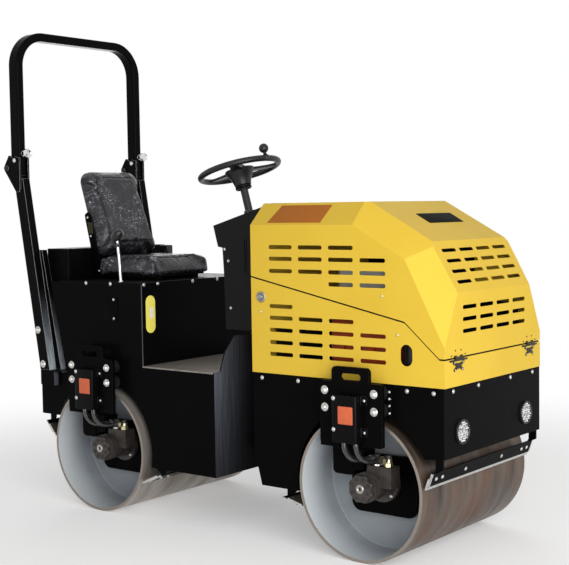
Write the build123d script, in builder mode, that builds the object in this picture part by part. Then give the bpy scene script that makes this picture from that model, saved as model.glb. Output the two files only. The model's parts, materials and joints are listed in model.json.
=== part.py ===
from build123d import *
from math import atan2, cos, degrees, radians, sin, sqrt
import os

# Ride-on tandem drum roller. Millimetres, +X forward, +Y left, +Z up.
# The origin is on the ground, at the middle of the machine's length and width.

os.makedirs("parts", exist_ok=True)


def write(builder, name):
    """Label the finished piece and write its STEP file."""
    builder.part.label = name
    export_step(builder.part, f"parts/{name}.step")


def side_plane(y):
    """Plane whose sketch x is the machine's X and sketch y its Z, facing -Y at the given y."""
    return Plane(origin=(0, y, 0), x_dir=(1, 0, 0), z_dir=(0, -1, 0))


def cross_plane(x):
    """Plane whose sketch x is the machine's Y and sketch y its Z, facing +X at the given x."""
    return Plane(origin=(x, 0, 0), x_dir=(0, 1, 0), z_dir=(1, 0, 0))


# ---------------------------------------------------------------- driving dimensions
WHEELBASE = 1413.0
DRUM_RADIUS = 280.0
DRUM_WIDTH = 800.0
SHELL_WALL = 12.0
WEB_RECESS = 205.0          # drum end to the outer face of its web
WEB_WALL = 12.0
BODY_INSET = 25.0           # end of a drum in to the body's side
PLATE = 6.0                 # chassis plate
SHEET = 3.0                 # hood and cowl sheet
RUNNING_GAP = 5.0           # least gap between parts that move past each other
FIT_GAP = 0.3               # gap at pins, shafts and seats
ARCH_GAP = 28.0             # drum to the arch over it
NOSE_DEPTH = 52.0           # front arch to the front face of the chassis
HINGE_DEPTH = 9.0           # hood hinges, out from the hood
REAR_REACH = 586.0          # rear axle back to the fold hinge of the roll bar
PIVOT_AHEAD = 790.0         # rear axle to the articulation pin

ARCH_RADIUS = DRUM_RADIUS + ARCH_GAP
FRONT_REACH = ARCH_RADIUS + NOSE_DEPTH + SHEET + HINGE_DEPTH
REAR_AXLE = (REAR_REACH - FRONT_REACH - WHEELBASE) / 2
FRONT_AXLE = REAR_AXLE + WHEELBASE
PIVOT = REAR_AXLE + PIVOT_AHEAD
DRUM_HALF = DRUM_WIDTH / 2
BODY_HALF = DRUM_HALF - BODY_INSET
BODY_WIDTH = 2 * BODY_HALF
AXLE_Z = DRUM_RADIUS
DRUM_TOP = 2 * DRUM_RADIUS
SIDES = (("right", -1), ("left", 1))

# ---------------------------------------------------------------- drums
WEB_OUTER = DRUM_HALF - WEB_RECESS
HUB_RADIUS = 80.0
HUB_BOSS = 8.0              # boss that stands out of the web
SHAFT_RADIUS = 30.0

# columns: node, axle x
DRUMS = (("rear_drum", REAR_AXLE), ("front_drum", FRONT_AXLE))
for name, axle in DRUMS:
    with BuildPart() as drum:
        with BuildSketch(cross_plane(axle)):
            with Locations((0, AXLE_Z + DRUM_RADIUS - SHELL_WALL / 2)):
                Rectangle(DRUM_WIDTH, SHELL_WALL)
            for _, side in SIDES:
                web_height = DRUM_RADIUS - SHELL_WALL / 2 - SHAFT_RADIUS - FIT_GAP
                web_middle = AXLE_Z + SHAFT_RADIUS + FIT_GAP + web_height / 2
                with Locations((side * (WEB_OUTER - WEB_WALL / 2), web_middle)):
                    Rectangle(WEB_WALL, web_height)
                boss_height = HUB_RADIUS - SHAFT_RADIUS - FIT_GAP
                boss_middle = AXLE_Z + SHAFT_RADIUS + FIT_GAP + boss_height / 2
                with Locations((side * (WEB_OUTER + HUB_BOSS / 2 - WEB_WALL / 2), boss_middle)):
                    Rectangle(HUB_BOSS + WEB_WALL, boss_height)
        revolve(axis=Axis((axle, 0, AXLE_Z), (0, 1, 0)))
    write(drum, name)

# ---------------------------------------------------------------- drum yokes
# Each yoke hangs outside the drum end and reaches into its recess, where it carries the motor.
YOKE_HALF = 150.0           # leg, along X
LEG_PLATE = 16.0
LEG_INNER = WEB_OUTER + HUB_BOSS + 10.0
LEG_OUTER = LEG_INNER + LEG_PLATE
LEG_BOTTOM = AXLE_Z - 130.0
LEG_CORNER = 40.0
ARM_BACK = -154.0           # arm from the bracket to the leg, along X from the axle
ARM_FRONT = -72.0
ARM_BOTTOM = AXLE_Z + 38.0
ARM_OUTER = DRUM_HALF - 50.0
ARM_TOP_INNER = AXLE_Z + 105.0
ARM_TOP_OUTER = AXLE_Z + 176.0
BRACKET_INNER = DRUM_HALF + 12.0
BRACKET_PLATE = 16.0
BRACKET_OUTER = BRACKET_INNER + BRACKET_PLATE
BRACKET_BACK = -156.0       # bracket edges, from the axle
BRACKET_FRONT = 128.0
BRACKET_BOTTOM = AXLE_Z + 172.0
BRACKET_TOP = DRUM_TOP + 130.0
LOOP_BACK = -100.0
LOOP_FRONT = 70.0
LOOP_TOP = BRACKET_TOP + 56.0
LOOP_HOLE = (95.0, 26.0)
LOOP_HOLE_Z = BRACKET_TOP + 19.0
COVER_BACK = -76.0          # small cover on the bracket, from the axle
COVER_FRONT = 32.0
COVER_BOTTOM = BRACKET_BOTTOM + 14.0
COVER_TOP = BRACKET_TOP - 50.0
COVER_DEPTH = 34.0
BUFFER_RADIUS = 28.0
BUFFER_X = (-132.0, 92.0)
BUFFER_Z = (DRUM_TOP + 27.0, DRUM_TOP + 93.0)

# columns: node prefix, axle x, side
YOKES = [(f"{end}_{word}", axle, side) for end, axle in (("rear", REAR_AXLE), ("front", FRONT_AXLE))
         for word, side in SIDES]
for prefix, axle, side in YOKES:
    outline_x = (BRACKET_BACK + BRACKET_FRONT) / 2
    with BuildPart() as yoke:
        with BuildSketch(side_plane(side * BRACKET_INNER)):
            with Locations((axle + outline_x, (BRACKET_BOTTOM + BRACKET_TOP) / 2)):
                RectangleRounded(BRACKET_FRONT - BRACKET_BACK, BRACKET_TOP - BRACKET_BOTTOM, 10)
            loop_middle = axle + (LOOP_BACK + LOOP_FRONT) / 2
            with Locations((loop_middle, (LOOP_TOP + BRACKET_TOP) / 2 - 20)):
                RectangleRounded(LOOP_FRONT - LOOP_BACK, LOOP_TOP - BRACKET_TOP + 40, 18)
            with Locations((loop_middle, LOOP_HOLE_Z)):
                SlotOverall(*LOOP_HOLE, mode=Mode.SUBTRACT)
        extrude(amount=-side * BRACKET_PLATE)
        with BuildSketch(side_plane(side * BRACKET_OUTER)):
            with Locations((axle + (COVER_BACK + COVER_FRONT) / 2, (COVER_BOTTOM + COVER_TOP) / 2)):
                Rectangle(COVER_FRONT - COVER_BACK, COVER_TOP - COVER_BOTTOM)
        extrude(amount=-side * COVER_DEPTH)
        with BuildSketch(cross_plane(axle + ARM_BACK)):
            with BuildLine():
                Polyline((side * LEG_INNER, ARM_BOTTOM), (side * ARM_OUTER, ARM_BOTTOM),
                         (side * ARM_OUTER, BRACKET_BOTTOM - 24),
                         (side * BRACKET_OUTER, BRACKET_BOTTOM - 12),
                         (side * BRACKET_OUTER, BRACKET_BOTTOM + 20),
                         (side * BRACKET_INNER, BRACKET_BOTTOM + 20),
                         (side * BRACKET_INNER, ARM_TOP_OUTER),
                         (side * LEG_INNER, ARM_TOP_INNER), close=True)
            make_face()
        extrude(amount=ARM_FRONT - ARM_BACK)
        heel = yoke.edges().filter_by(Axis.Y).filter_by_position(Axis.X, axle + ARM_BACK - 1, axle + ARM_BACK + 1)
        fillet(heel.sort_by(Axis.Z)[0], 20)
        # web on the front of the arm
        with BuildSketch(side_plane(side * (LEG_INNER + 49))):
            with BuildLine():
                Polyline((axle - 80, ARM_BOTTOM), (axle - 60, ARM_BOTTOM), (axle - 56, ARM_BOTTOM + 22),
                         (axle - 18, ARM_BOTTOM + 27), (axle - 18, ARM_BOTTOM + 97),
                         (axle - 80, ARM_BOTTOM + 112), close=True)
            make_face()
        extrude(amount=-side * (ARM_OUTER - 5 - LEG_INNER - 49))
        with BuildSketch(side_plane(side * LEG_INNER)):
            with Locations((axle, (LEG_BOTTOM + ARM_TOP_INNER) / 2)):
                RectangleRounded(2 * YOKE_HALF, ARM_TOP_INNER - LEG_BOTTOM, LEG_CORNER)
        extrude(amount=-side * LEG_PLATE)
    write(yoke, f"{prefix}_yoke")

# rubber buffers between the chassis side plates and the yokes
for end, axle in (("rear", REAR_AXLE), ("front", FRONT_AXLE)):
    with BuildPart() as buffers:
        for _, side in SIDES:
            with BuildSketch(side_plane(side * BODY_HALF)):
                with Locations([(axle + bx, bz) for bx in BUFFER_X for bz in BUFFER_Z]):
                    Circle(BUFFER_RADIUS)
            extrude(amount=-side * (BRACKET_INNER - BODY_HALF))
    write(buffers, f"{end}_buffers")

# ---------------------------------------------------------------- hydraulic drum motors
FLANGE_RADIUS = 78.0
FLANGE_DEPTH = 18.0
MOTOR_RADIUS = 55.0
MOTOR_CAP_RADIUS = 50.0
MOTOR_CAP_DEPTH = 20.0
MOTOR_END = DRUM_HALF - 7.0 # outer face of the motor's end cap
PORT_SIZE = (110.0, 60.0)   # port block, along X and Y
PORT_TOP = AXLE_Z + 80.0
PORT_X = 45.0
PORT_Y = DRUM_HALF - 100.0
MOTOR_TAIL = 5.0            # shaft end past the inner face of the web
ELBOW_RADIUS = 13.0
ELBOW_REACH = 34.0          # elbow's middle to the end of its collar
ELBOW_Y = PORT_Y + 14.0
HOSE_RADIUS = 10.0
HOSE_Y = BRACKET_OUTER + COVER_DEPTH / 2
HOSE_LOW = PORT_TOP + 28.0
# two hoses to each motor, columns: x of the hose at the cover, x of its elbow, from the axle
HOSES = ((-33.0, 28.0), (21.0, 78.0))


def hose_way(axle, side, cover_x, elbow_x):
    """Top end, corner and motor end of one hose, and the way it runs into its elbow."""
    corner = Vector(axle + cover_x, side * HOSE_Y, HOSE_LOW)
    elbow = Vector(axle + elbow_x, side * ELBOW_Y, HOSE_LOW)
    way = (elbow - corner).normalized()
    return Vector(corner.X, corner.Y, COVER_BOTTOM), corner, elbow - way * ELBOW_REACH, way


for end, axle in (("rear", REAR_AXLE), ("front", FRONT_AXLE)):
    with BuildPart() as motors:
        for _, side in SIDES:
            # columns: inner y, outer y, radius
            steps = ((WEB_OUTER - WEB_WALL - MOTOR_TAIL, LEG_INNER, SHAFT_RADIUS),
                     (LEG_OUTER, LEG_OUTER + FLANGE_DEPTH, FLANGE_RADIUS),
                     (LEG_OUTER + FLANGE_DEPTH, MOTOR_END - MOTOR_CAP_DEPTH, MOTOR_RADIUS),
                     (MOTOR_END - MOTOR_CAP_DEPTH, MOTOR_END, MOTOR_CAP_RADIUS))
            for inner, outer, radius in steps:
                with BuildSketch(side_plane(side * inner)):
                    with Locations((axle, AXLE_Z)):
                        Circle(radius)
                extrude(amount=-side * (outer - inner))
            with BuildSketch(Plane.XY.offset(AXLE_Z)):
                with Locations((axle + PORT_X, side * PORT_Y)):
                    Rectangle(*PORT_SIZE)
            extrude(amount=PORT_TOP - AXLE_Z)
            for cover_x, elbow_x in HOSES:
                _, _, collar_end, way = hose_way(axle, side, cover_x, elbow_x)
                with BuildSketch(Plane.XY.offset(PORT_TOP)):
                    with Locations((axle + elbow_x, side * ELBOW_Y)):
                        Circle(ELBOW_RADIUS)
                extrude(amount=HOSE_LOW + ELBOW_RADIUS + 3 - PORT_TOP)
                with BuildSketch(Plane(origin=collar_end, z_dir=way)):
                    Circle(ELBOW_RADIUS - 1)
                extrude(amount=ELBOW_REACH)
    write(motors, f"{end}_drum_motors")

# hoses from the bracket covers to the motors, each one bend between two straight runs
for end, axle in (("rear", REAR_AXLE), ("front", FRONT_AXLE)):
    with BuildPart() as hoses:
        for _, side in SIDES:
            for cover_x, elbow_x in HOSES:
                top, corner, collar_end, way = hose_way(axle, side, cover_x, elbow_x)
                bend = 0.9 * min((top - corner).length, (collar_end - corner).length)
                print(f"{end} hose bend radius {bend:.1f}")
                with BuildLine() as hose_line:
                    FilletPolyline(top, corner, collar_end, radius=bend)
                with BuildSketch(Plane.XY.offset(COVER_BOTTOM)):
                    with Locations((top.X, top.Y)):
                        Circle(HOSE_RADIUS)
                sweep(path=hose_line.wires()[0])
    write(hoses, f"{end}_motor_hoses")

# ---------------------------------------------------------------- wheel arches


def arch_x(radius, z):
    """How far from the axle an arch of this radius stands at height z."""
    return sqrt(radius ** 2 - (z - AXLE_Z) ** 2)


def arch_liner(axle, back_z, front_z):
    """Section of the bent plate over a drum, from its back end to its front end."""
    inner = ARCH_RADIUS
    outer = ARCH_RADIUS + PLATE
    with BuildSketch() as section:
        with BuildLine():
            for radius in (inner, outer):
                ThreePointArc((axle - arch_x(radius, back_z), back_z),
                              (axle, AXLE_Z + radius),
                              (axle + arch_x(radius, front_z), front_z))
            Line((axle - arch_x(inner, back_z), back_z), (axle - arch_x(outer, back_z), back_z))
            Line((axle + arch_x(inner, front_z), front_z), (axle + arch_x(outer, front_z), front_z))
        make_face()
    return section.sketch


def side_plate(axle, back_z, front_z, edge):
    """Chassis side plate: an edge of straight runs from the arch's back end round to its front end."""
    back = (axle - arch_x(ARCH_RADIUS, back_z), back_z)
    front = (axle + arch_x(ARCH_RADIUS, front_z), front_z)
    with BuildSketch() as plate:
        with BuildLine():
            Polyline(back, *edge, front)
            ThreePointArc(front, (axle, AXLE_Z + ARCH_RADIUS), back)
        make_face()
    return plate.sketch


# ---------------------------------------------------------------- rear chassis
REAR_EDGE = REAR_AXLE - ARCH_RADIUS - 92.0
REAR_SKIRT_Z = AXLE_Z + 122.0
LEDGE_Z = DRUM_TOP + 52.0   # top of the ledge that the roll bar stands on
LEDGE_FRONT = REAR_AXLE - 225.0
LEDGE_HALF = BODY_HALF + 26.0
STRIP_BACK = REAR_AXLE - 376.0 # ledge beyond the body's sides, which carries the roll bar's legs
DECK_Z = DRUM_TOP + 467.0
BOX_FRONT = REAR_AXLE + 262.0
FLOOR_Z = DRUM_TOP + 106.0
STEP_FRONT = PIVOT - 115.0
STEP_BOTTOM = AXLE_Z - 54.0
PLATE_BACK = REAR_AXLE - 228.0 # side plate's back edge, where it leaves the ledge
PLATE_LEAN = 0.222          # its rearward lean, per mm of height
# top edge of the kick plate, columns: in from the body's side, height above the floor
KICK_EDGE = ((39.0, 0.0), (73.0, 81.0), (133.0, 143.0))
CYLINDER_Y = 190.0
CYLINDER_Z = AXLE_Z + 160.0
CYLINDER_OPENING = (124.0, 84.0)

with BuildPart() as rear_chassis:
    top = DECK_Z - PLATE
    step_top = FLOOR_Z - PLATE
    edge = ((REAR_EDGE, REAR_SKIRT_Z), (REAR_EDGE, LEDGE_Z), (PLATE_BACK, LEDGE_Z),
            (PLATE_BACK - PLATE_LEAN * (top - LEDGE_Z), top), (BOX_FRONT, top),
            (BOX_FRONT, step_top), (STEP_FRONT, step_top), (STEP_FRONT, STEP_BOTTOM))
    for _, side in SIDES:
        with BuildSketch(side_plane(side * (BODY_HALF - PLATE))):
            add(side_plate(REAR_AXLE, REAR_SKIRT_Z, STEP_BOTTOM, edge))
        extrude(amount=-side * PLATE)
    with BuildSketch(side_plane(BODY_HALF - PLATE)):
        add(arch_liner(REAR_AXLE, REAR_SKIRT_Z, STEP_BOTTOM))
    extrude(amount=2 * (BODY_HALF - PLATE))
    # ledge plate and the pads under it
    with BuildSketch(Plane.XY.offset(LEDGE_Z - PLATE)):
        with Locations(((REAR_EDGE + LEDGE_FRONT) / 2, 0)):
            Rectangle(LEDGE_FRONT - REAR_EDGE, BODY_WIDTH)
        with Locations(((STRIP_BACK + LEDGE_FRONT) / 2, 0)):
            Rectangle(LEDGE_FRONT - STRIP_BACK, 2 * LEDGE_HALF)
    extrude(amount=PLATE)
    for _, side in SIDES:
        with BuildSketch(side_plane(side * BODY_HALF)):
            with BuildLine():
                Polyline((STRIP_BACK, LEDGE_Z - PLATE), (STRIP_BACK, LEDGE_Z - 70),
                         (LEDGE_FRONT - 60, LEDGE_Z - 70), (LEDGE_FRONT - 60, LEDGE_Z - PLATE),
                         close=True)
            make_face()
        extrude(amount=-side * (LEDGE_HALF - BODY_HALF))
    # rear cross plate
    with BuildSketch(cross_plane(REAR_EDGE)):
        with Locations((0, (REAR_SKIRT_Z + LEDGE_Z) / 2)):
            Rectangle(BODY_WIDTH, LEDGE_Z - REAR_SKIRT_Z)
    extrude(amount=PLATE)
    # kick plate, rising towards the middle
    with BuildSketch(cross_plane(STEP_FRONT - PLATE)):
        with BuildLine():
            right = [(-(BODY_HALF - inward), FLOOR_Z + up) for inward, up in KICK_EDGE]
            left = [(-y, z) for y, z in reversed(right)]
            Polyline((-BODY_HALF, STEP_BOTTOM), (-BODY_HALF, FLOOR_Z), *right, *left,
                     (BODY_HALF, FLOOR_Z), (BODY_HALF, STEP_BOTTOM), close=True)
        make_face()
        with Locations((CYLINDER_Y, CYLINDER_Z)):
            RectangleRounded(*CYLINDER_OPENING, 15, mode=Mode.SUBTRACT)
    extrude(amount=PLATE)
write(rear_chassis, "rear_chassis")

with BuildPart() as seat_box:
    tank_front = REAR_AXLE - 254.0
    with BuildSketch(Plane.XY.offset(DECK_Z - PLATE)):
        with Locations(((tank_front + BOX_FRONT) / 2, 0)):
            Rectangle(BOX_FRONT - tank_front, BODY_WIDTH)
    extrude(amount=PLATE)
    with BuildSketch(cross_plane(BOX_FRONT - PLATE)):
        with Locations((0, (FLOOR_Z - PLATE + DECK_Z - PLATE) / 2)):
            Rectangle(BODY_WIDTH - 2 * PLATE, DECK_Z - FLOOR_Z)
    extrude(amount=PLATE)
write(seat_box, "seat_box")

with BuildPart() as floor_plate:
    with BuildSketch(Plane.XY.offset(FLOOR_Z - PLATE)):
        with Locations(((BOX_FRONT + STEP_FRONT - PLATE) / 2, 0)):
            Rectangle(STEP_FRONT - PLATE - BOX_FRONT, BODY_WIDTH)
    extrude(amount=PLATE)
write(floor_plate, "floor_plate")

TANK_HALF = BODY_HALF - 48.0
TANK_TOP = DECK_Z + 143.0
TANK_WALL = 4.0
with BuildPart() as rear_tank:
    with BuildSketch(Plane.XY.offset(LEDGE_Z)):
        with Locations(((REAR_EDGE + tank_front) / 2, 0)):
            RectangleRounded(tank_front - REAR_EDGE, 2 * TANK_HALF, 14)
    extrude(amount=TANK_TOP - LEDGE_Z)
    with BuildSketch(Plane.XY.offset(LEDGE_Z + TANK_WALL)):
        with Locations(((REAR_EDGE + tank_front) / 2, 0)):
            RectangleRounded(tank_front - REAR_EDGE - 2 * TANK_WALL, 2 * (TANK_HALF - TANK_WALL), 10)
    extrude(amount=TANK_TOP - LEDGE_Z - 2 * TANK_WALL, mode=Mode.SUBTRACT)
write(rear_tank, "rear_tank")

# ---------------------------------------------------------------- folding roll bar
TUBE_X = 62.0
TUBE_Y = 40.0
TUBE_WALL = 4.0
LEG_Y = LEDGE_HALF - TUBE_Y / 2
HOOP_X = REAR_AXLE - 517.0
LEG_TOP = LEDGE_Z + 886.0
HOOP_FOOT = LEG_TOP + 14.0
HOOP_TOP = LEG_TOP + 688.0
HOOP_BEND = 145.0
LEG_LEAN = 0.171
CHEEK = 8.0
CHEEK_GAP = 1.5
LOBE = 22.0
FOLD_X = REAR_AXLE - REAR_REACH + LOBE
FOLD_Z = LEG_TOP + 51.0
FOLD_PIN = 10.0
LOCK_X = FOLD_X + 60.0
LOCK_Z = FOLD_Z + 34.0
LOCK_PIN = 7.0
LOCK_NOTCH = 8.5
CHEEK_FRONT = HOOP_X + TUBE_X / 2 + 10.0
CHEEK_TOP = FOLD_Z + 63.0
CHEEK_BOTTOM = LEG_TOP - 61.0
HOOP_LUG = 16.0
PLUNGER_Z = CHEEK_TOP + 3.0 # spring plunger on the front of each hoop foot
PLUNGER_RADIUS = 9.0
PLUNGER_LENGTH = 25.0
BRACE_FRONT = REAR_AXLE - 281.0
BRACE_LEAN = 0.20           # rearward lean of the brace, per mm of height
BRACE_TOP = TANK_TOP - 5.0
BRACE_SIZE = (32.0, 30.0)   # along X and Y

leg_back_top = HOOP_X - TUBE_X / 2 + 20.0
with BuildPart() as roll_bar_legs:
    for _, side in SIDES:
        # hollow leaning leg
        for wall, mode in ((0.0, Mode.ADD), (TUBE_WALL, Mode.SUBTRACT)):
            with BuildSketch(side_plane(side * (LEG_Y - TUBE_Y / 2 + wall))):
                with BuildLine():
                    lean = LEG_LEAN * (LEG_TOP - LEDGE_Z)
                    Polyline((leg_back_top + lean + wall, LEDGE_Z),
                             (leg_back_top + lean + TUBE_X - wall, LEDGE_Z),
                             (leg_back_top + TUBE_X - wall, LEG_TOP),
                             (leg_back_top + wall, LEG_TOP), close=True)
                make_face()
            extrude(amount=-side * (TUBE_Y - 2 * wall), mode=mode)
        # brace against the inner face of the leg
        with BuildSketch(side_plane(side * (LEG_Y - TUBE_Y / 2 - BRACE_SIZE[1]))):
            with BuildLine():
                lean = BRACE_LEAN * (BRACE_TOP - LEDGE_Z)
                Polyline((BRACE_FRONT - BRACE_SIZE[0], LEDGE_Z), (BRACE_FRONT, LEDGE_Z),
                         (BRACE_FRONT - lean, BRACE_TOP), (BRACE_FRONT - BRACE_SIZE[0] - lean, BRACE_TOP),
                         close=True)
            make_face()
        extrude(amount=-side * BRACE_SIZE[1])
        # cheek plates on both faces of the leg, with the open notch for the lock pin
        slot_turn = degrees(atan2(LOCK_Z - FOLD_Z, LOCK_X - FOLD_X))
        lock_reach = sqrt((LOCK_X - FOLD_X) ** 2 + (LOCK_Z - FOLD_Z) ** 2)
        for face in (-1, 1):
            near = LEG_Y + face * (TUBE_Y / 2 + CHEEK_GAP)
            with BuildSketch(side_plane(side * near)):
                with BuildLine():
                    Polyline((FOLD_X - 19, FOLD_Z + 11), (HOOP_X - TUBE_X / 2, CHEEK_TOP),
                             (CHEEK_FRONT, CHEEK_TOP - 17), (CHEEK_FRONT, CHEEK_BOTTOM + 17),
                             (CHEEK_FRONT - 5, CHEEK_BOTTOM), (leg_back_top + 23, CHEEK_BOTTOM),
                             (FOLD_X - 18, FOLD_Z - 12), close=True)
                make_face()
                with Locations((FOLD_X, FOLD_Z)):
                    Circle(LOBE)
                with BuildLine(mode=Mode.PRIVATE):
                    lock_way = CenterArc((FOLD_X, FOLD_Z), lock_reach, slot_turn, 75)
                SlotArc(lock_way, 2 * LOCK_NOTCH, mode=Mode.SUBTRACT)
            extrude(amount=-side * face * CHEEK)
            with BuildSketch(side_plane(side * (LEG_Y + face * TUBE_Y / 2))):
                with BuildLine():
                    Polyline((leg_back_top + 10, LEG_TOP - 4), (CHEEK_FRONT - 3, LEG_TOP - 4),
                             (CHEEK_FRONT - 3, CHEEK_BOTTOM + 15), (leg_back_top + 24, CHEEK_BOTTOM + 15),
                             close=True)
                make_face()
            extrude(amount=-side * face * CHEEK_GAP)
        with BuildSketch(side_plane(side * (LEG_Y - TUBE_Y / 2 - CHEEK_GAP - CHEEK - 6))):
            with Locations((FOLD_X, FOLD_Z)):
                Circle(FOLD_PIN)
        extrude(amount=-side * (TUBE_Y + 2 * (CHEEK_GAP + CHEEK + 6)))
write(roll_bar_legs, "roll_bar_legs")

with BuildPart() as roll_bar_hoop:
    for wall, mode in ((0.0, Mode.ADD), (TUBE_WALL, Mode.SUBTRACT)):
        with BuildLine(cross_plane(HOOP_X)) as hoop_line:
            FilletPolyline((-LEG_Y, HOOP_FOOT), (-LEG_Y, HOOP_TOP - TUBE_Y / 2),
                           (LEG_Y, HOOP_TOP - TUBE_Y / 2), (LEG_Y, HOOP_FOOT), radius=HOOP_BEND)
        with BuildSketch(Plane.XY.offset(HOOP_FOOT)):
            with Locations((HOOP_X, -LEG_Y)):
                RectangleRounded(TUBE_X - 2 * wall, TUBE_Y - 2 * wall, 8 - wall)
        sweep(path=hoop_line.wires()[0], mode=mode)
    for _, side in SIDES:
        # rear ear on the fold pin, with the lock pin and the plunger in front of it
        with BuildSketch(side_plane(side * (LEG_Y - HOOP_LUG / 2))):
            ear_front = HOOP_X - TUBE_X / 2
            with BuildLine():
                Polyline((FOLD_X - 16, FOLD_Z + 10), (ear_front, CHEEK_TOP - 4), (ear_front + 2, FOLD_Z - 30),
                         (FOLD_X, FOLD_Z - 20), close=True)
            make_face()
            with Locations((FOLD_X, FOLD_Z)):
                Circle(20)
                Circle(FOLD_PIN + FIT_GAP, mode=Mode.SUBTRACT)
        extrude(amount=-side * HOOP_LUG)
        lock_half = TUBE_Y / 2 + CHEEK_GAP + CHEEK + 6
        with BuildSketch(side_plane(side * (LEG_Y - lock_half))):
            with Locations((LOCK_X, LOCK_Z)):
                Circle(LOCK_PIN)
        extrude(amount=-side * 2 * lock_half)
        with BuildSketch(cross_plane(HOOP_X + TUBE_X / 2 - 2)):
            with Locations((side * LEG_Y, PLUNGER_Z)):
                Circle(PLUNGER_RADIUS)
        extrude(amount=PLUNGER_LENGTH + 2)
write(roll_bar_hoop, "roll_bar_hoop")

# ---------------------------------------------------------------- seat and travel lever
SEAT_REAR = REAR_AXLE - 214.0
SEAT_FRONT = REAR_AXLE + 162.0
SEAT_HALF = 200.0
SEAT_PAN_Z = DECK_Z + 20.0
CUSHION_THICK = 88.0
BACK_THICK = 76.0
LUMBAR_THICK = 110.0        # back pad at its foot
BACK_HALF = 172.0
BACK_HEIGHT = 418.0
BACK_LEAN = 17.0            # degrees
BACK_FOOT = (REAR_AXLE - 158.0, SEAT_PAN_Z + CUSHION_THICK + 12.0)
RAIL_Y = 120.0
BACK_BAR = 8.0

lean = radians(BACK_LEAN)
back_pad_plane = Plane(origin=(BACK_FOOT[0] - BACK_THICK * cos(lean), 0,
                               BACK_FOOT[1] - BACK_THICK * sin(lean)),
                       x_dir=(0, 1, 0), z_dir=(cos(lean), 0, sin(lean)))

with BuildPart() as seat_frame:
    pan_middle = (SEAT_REAR + SEAT_FRONT) / 2
    pan_length = SEAT_FRONT - SEAT_REAR
    with BuildSketch(Plane.XY.offset(SEAT_PAN_Z - PLATE)):
        with Locations((pan_middle, 0)):
            RectangleRounded(pan_length - 30, 2 * SEAT_HALF - 40, 30)
        # tail of the pan, where the uprights start
        bar_foot = SEAT_REAR - 4 - BACK_BAR
        with Locations(((bar_foot + SEAT_REAR + 60) / 2, 0)):
            Rectangle(SEAT_REAR + 60 - bar_foot, 2 * RAIL_Y + 34)
    extrude(amount=PLATE)
    with BuildSketch(Plane.XY.offset(SEAT_PAN_Z - PLATE)):
        with Locations([(bar_foot + BACK_BAR / 2, side * RAIL_Y) for _, side in SIDES]):
            Rectangle(BACK_BAR, 34)
    extrude(amount=65)
    # slide rails on the deck
    with BuildSketch(Plane.XY.offset(DECK_Z)):
        with Locations([(pan_middle, side * RAIL_Y) for _, side in SIDES]):
            Rectangle(pan_length - 60, 36)
    extrude(amount=SEAT_PAN_Z - PLATE - DECK_Z)
    # uprights on the back of the pad
    for _, side in SIDES:
        with BuildSketch(back_pad_plane.offset(-BACK_BAR - FIT_GAP)):
            with Locations((side * RAIL_Y, 130)):
                Rectangle(34, 340)
        extrude(amount=BACK_BAR)
write(seat_frame, "seat_frame")

with BuildPart() as seat_cushion:
    with BuildSketch(Plane.XY.offset(SEAT_PAN_Z + FIT_GAP)):
        with Locations(((SEAT_REAR + SEAT_FRONT) / 2, 0)):
            RectangleRounded(SEAT_FRONT - SEAT_REAR, 2 * SEAT_HALF, 60)
    extrude(amount=CUSHION_THICK)
    fillet(seat_cushion.edges().group_by(Axis.Z)[-1], 25)
write(seat_cushion, "seat_cushion")

with BuildPart() as seat_back:
    with BuildSketch(back_pad_plane) as seat_back_outline:
        with Locations((0, BACK_HEIGHT / 2)):
            Rectangle(2 * BACK_HALF, BACK_HEIGHT)
        corners = seat_back_outline.vertices().group_by(Axis.Y)
        fillet(corners[-1], 60)
        fillet(corners[0], 30)
    extrude(amount=LUMBAR_THICK)
    # the front face leans back further than the rear face
    split(bisect_by=Plane(origin=back_pad_plane.origin + back_pad_plane.z_dir * LUMBAR_THICK,
                          x_dir=back_pad_plane.x_dir,
                          z_dir=back_pad_plane.z_dir * BACK_HEIGHT
                          + back_pad_plane.y_dir * (LUMBAR_THICK - BACK_THICK)), keep=Keep.BOTTOM)
    pad_front = seat_back.faces().filter_by(GeomType.PLANE).sort_by(Axis((0, 0, 0), back_pad_plane.z_dir))[-1]
    fillet(pad_front.edges(), 18)
write(seat_back, "seat_back")

LEVER_X = REAR_AXLE + 112.0
LEVER_Y = -(BODY_HALF - 27.0)
LEVER_TOP = DECK_Z + 235.0
GRIP_LENGTH = 82.0
with BuildPart() as travel_lever:
    with BuildSketch(Plane.XY.offset(DECK_Z)):
        with Locations((LEVER_X, LEVER_Y)):
            Circle(22)
    extrude(amount=14)
    with BuildSketch(Plane.XY.offset(DECK_Z)):
        with Locations((LEVER_X, LEVER_Y)):
            Circle(7)
    extrude(amount=LEVER_TOP - DECK_Z - 10)
    with BuildSketch(Plane.XY.offset(LEVER_TOP - GRIP_LENGTH)):
        with Locations((LEVER_X, LEVER_Y)):
            Circle(17)
    extrude(amount=GRIP_LENGTH)
    fillet(travel_lever.edges().group_by(Axis.Z)[-1], 14)
write(travel_lever, "travel_lever")

# ---------------------------------------------------------------- articulation
YOKE_LOW = AXLE_Z + 20.0    # lower and upper plates of the rear yoke
YOKE_HIGH = FLOOR_Z - 106.0
YOKE_PLATE = 20.0
PIVOT_EYE = 45.0
PIVOT_ROOT = 90.0
PIVOT_PIN = 20.0
FRONT_TAIL = PIVOT + 97.0   # rear face of the front chassis


def pivot_eye(root_x, eye_x):
    """Tapered plate from its root to the round eye about the articulation pin."""
    with BuildSketch() as eye:
        with BuildLine():
            Polyline((root_x, -PIVOT_ROOT), (eye_x, -PIVOT_EYE), (eye_x, PIVOT_EYE),
                     (root_x, PIVOT_ROOT), close=True)
        make_face()
        with Locations((eye_x, 0)):
            Circle(PIVOT_EYE)
    return eye.sketch


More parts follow.
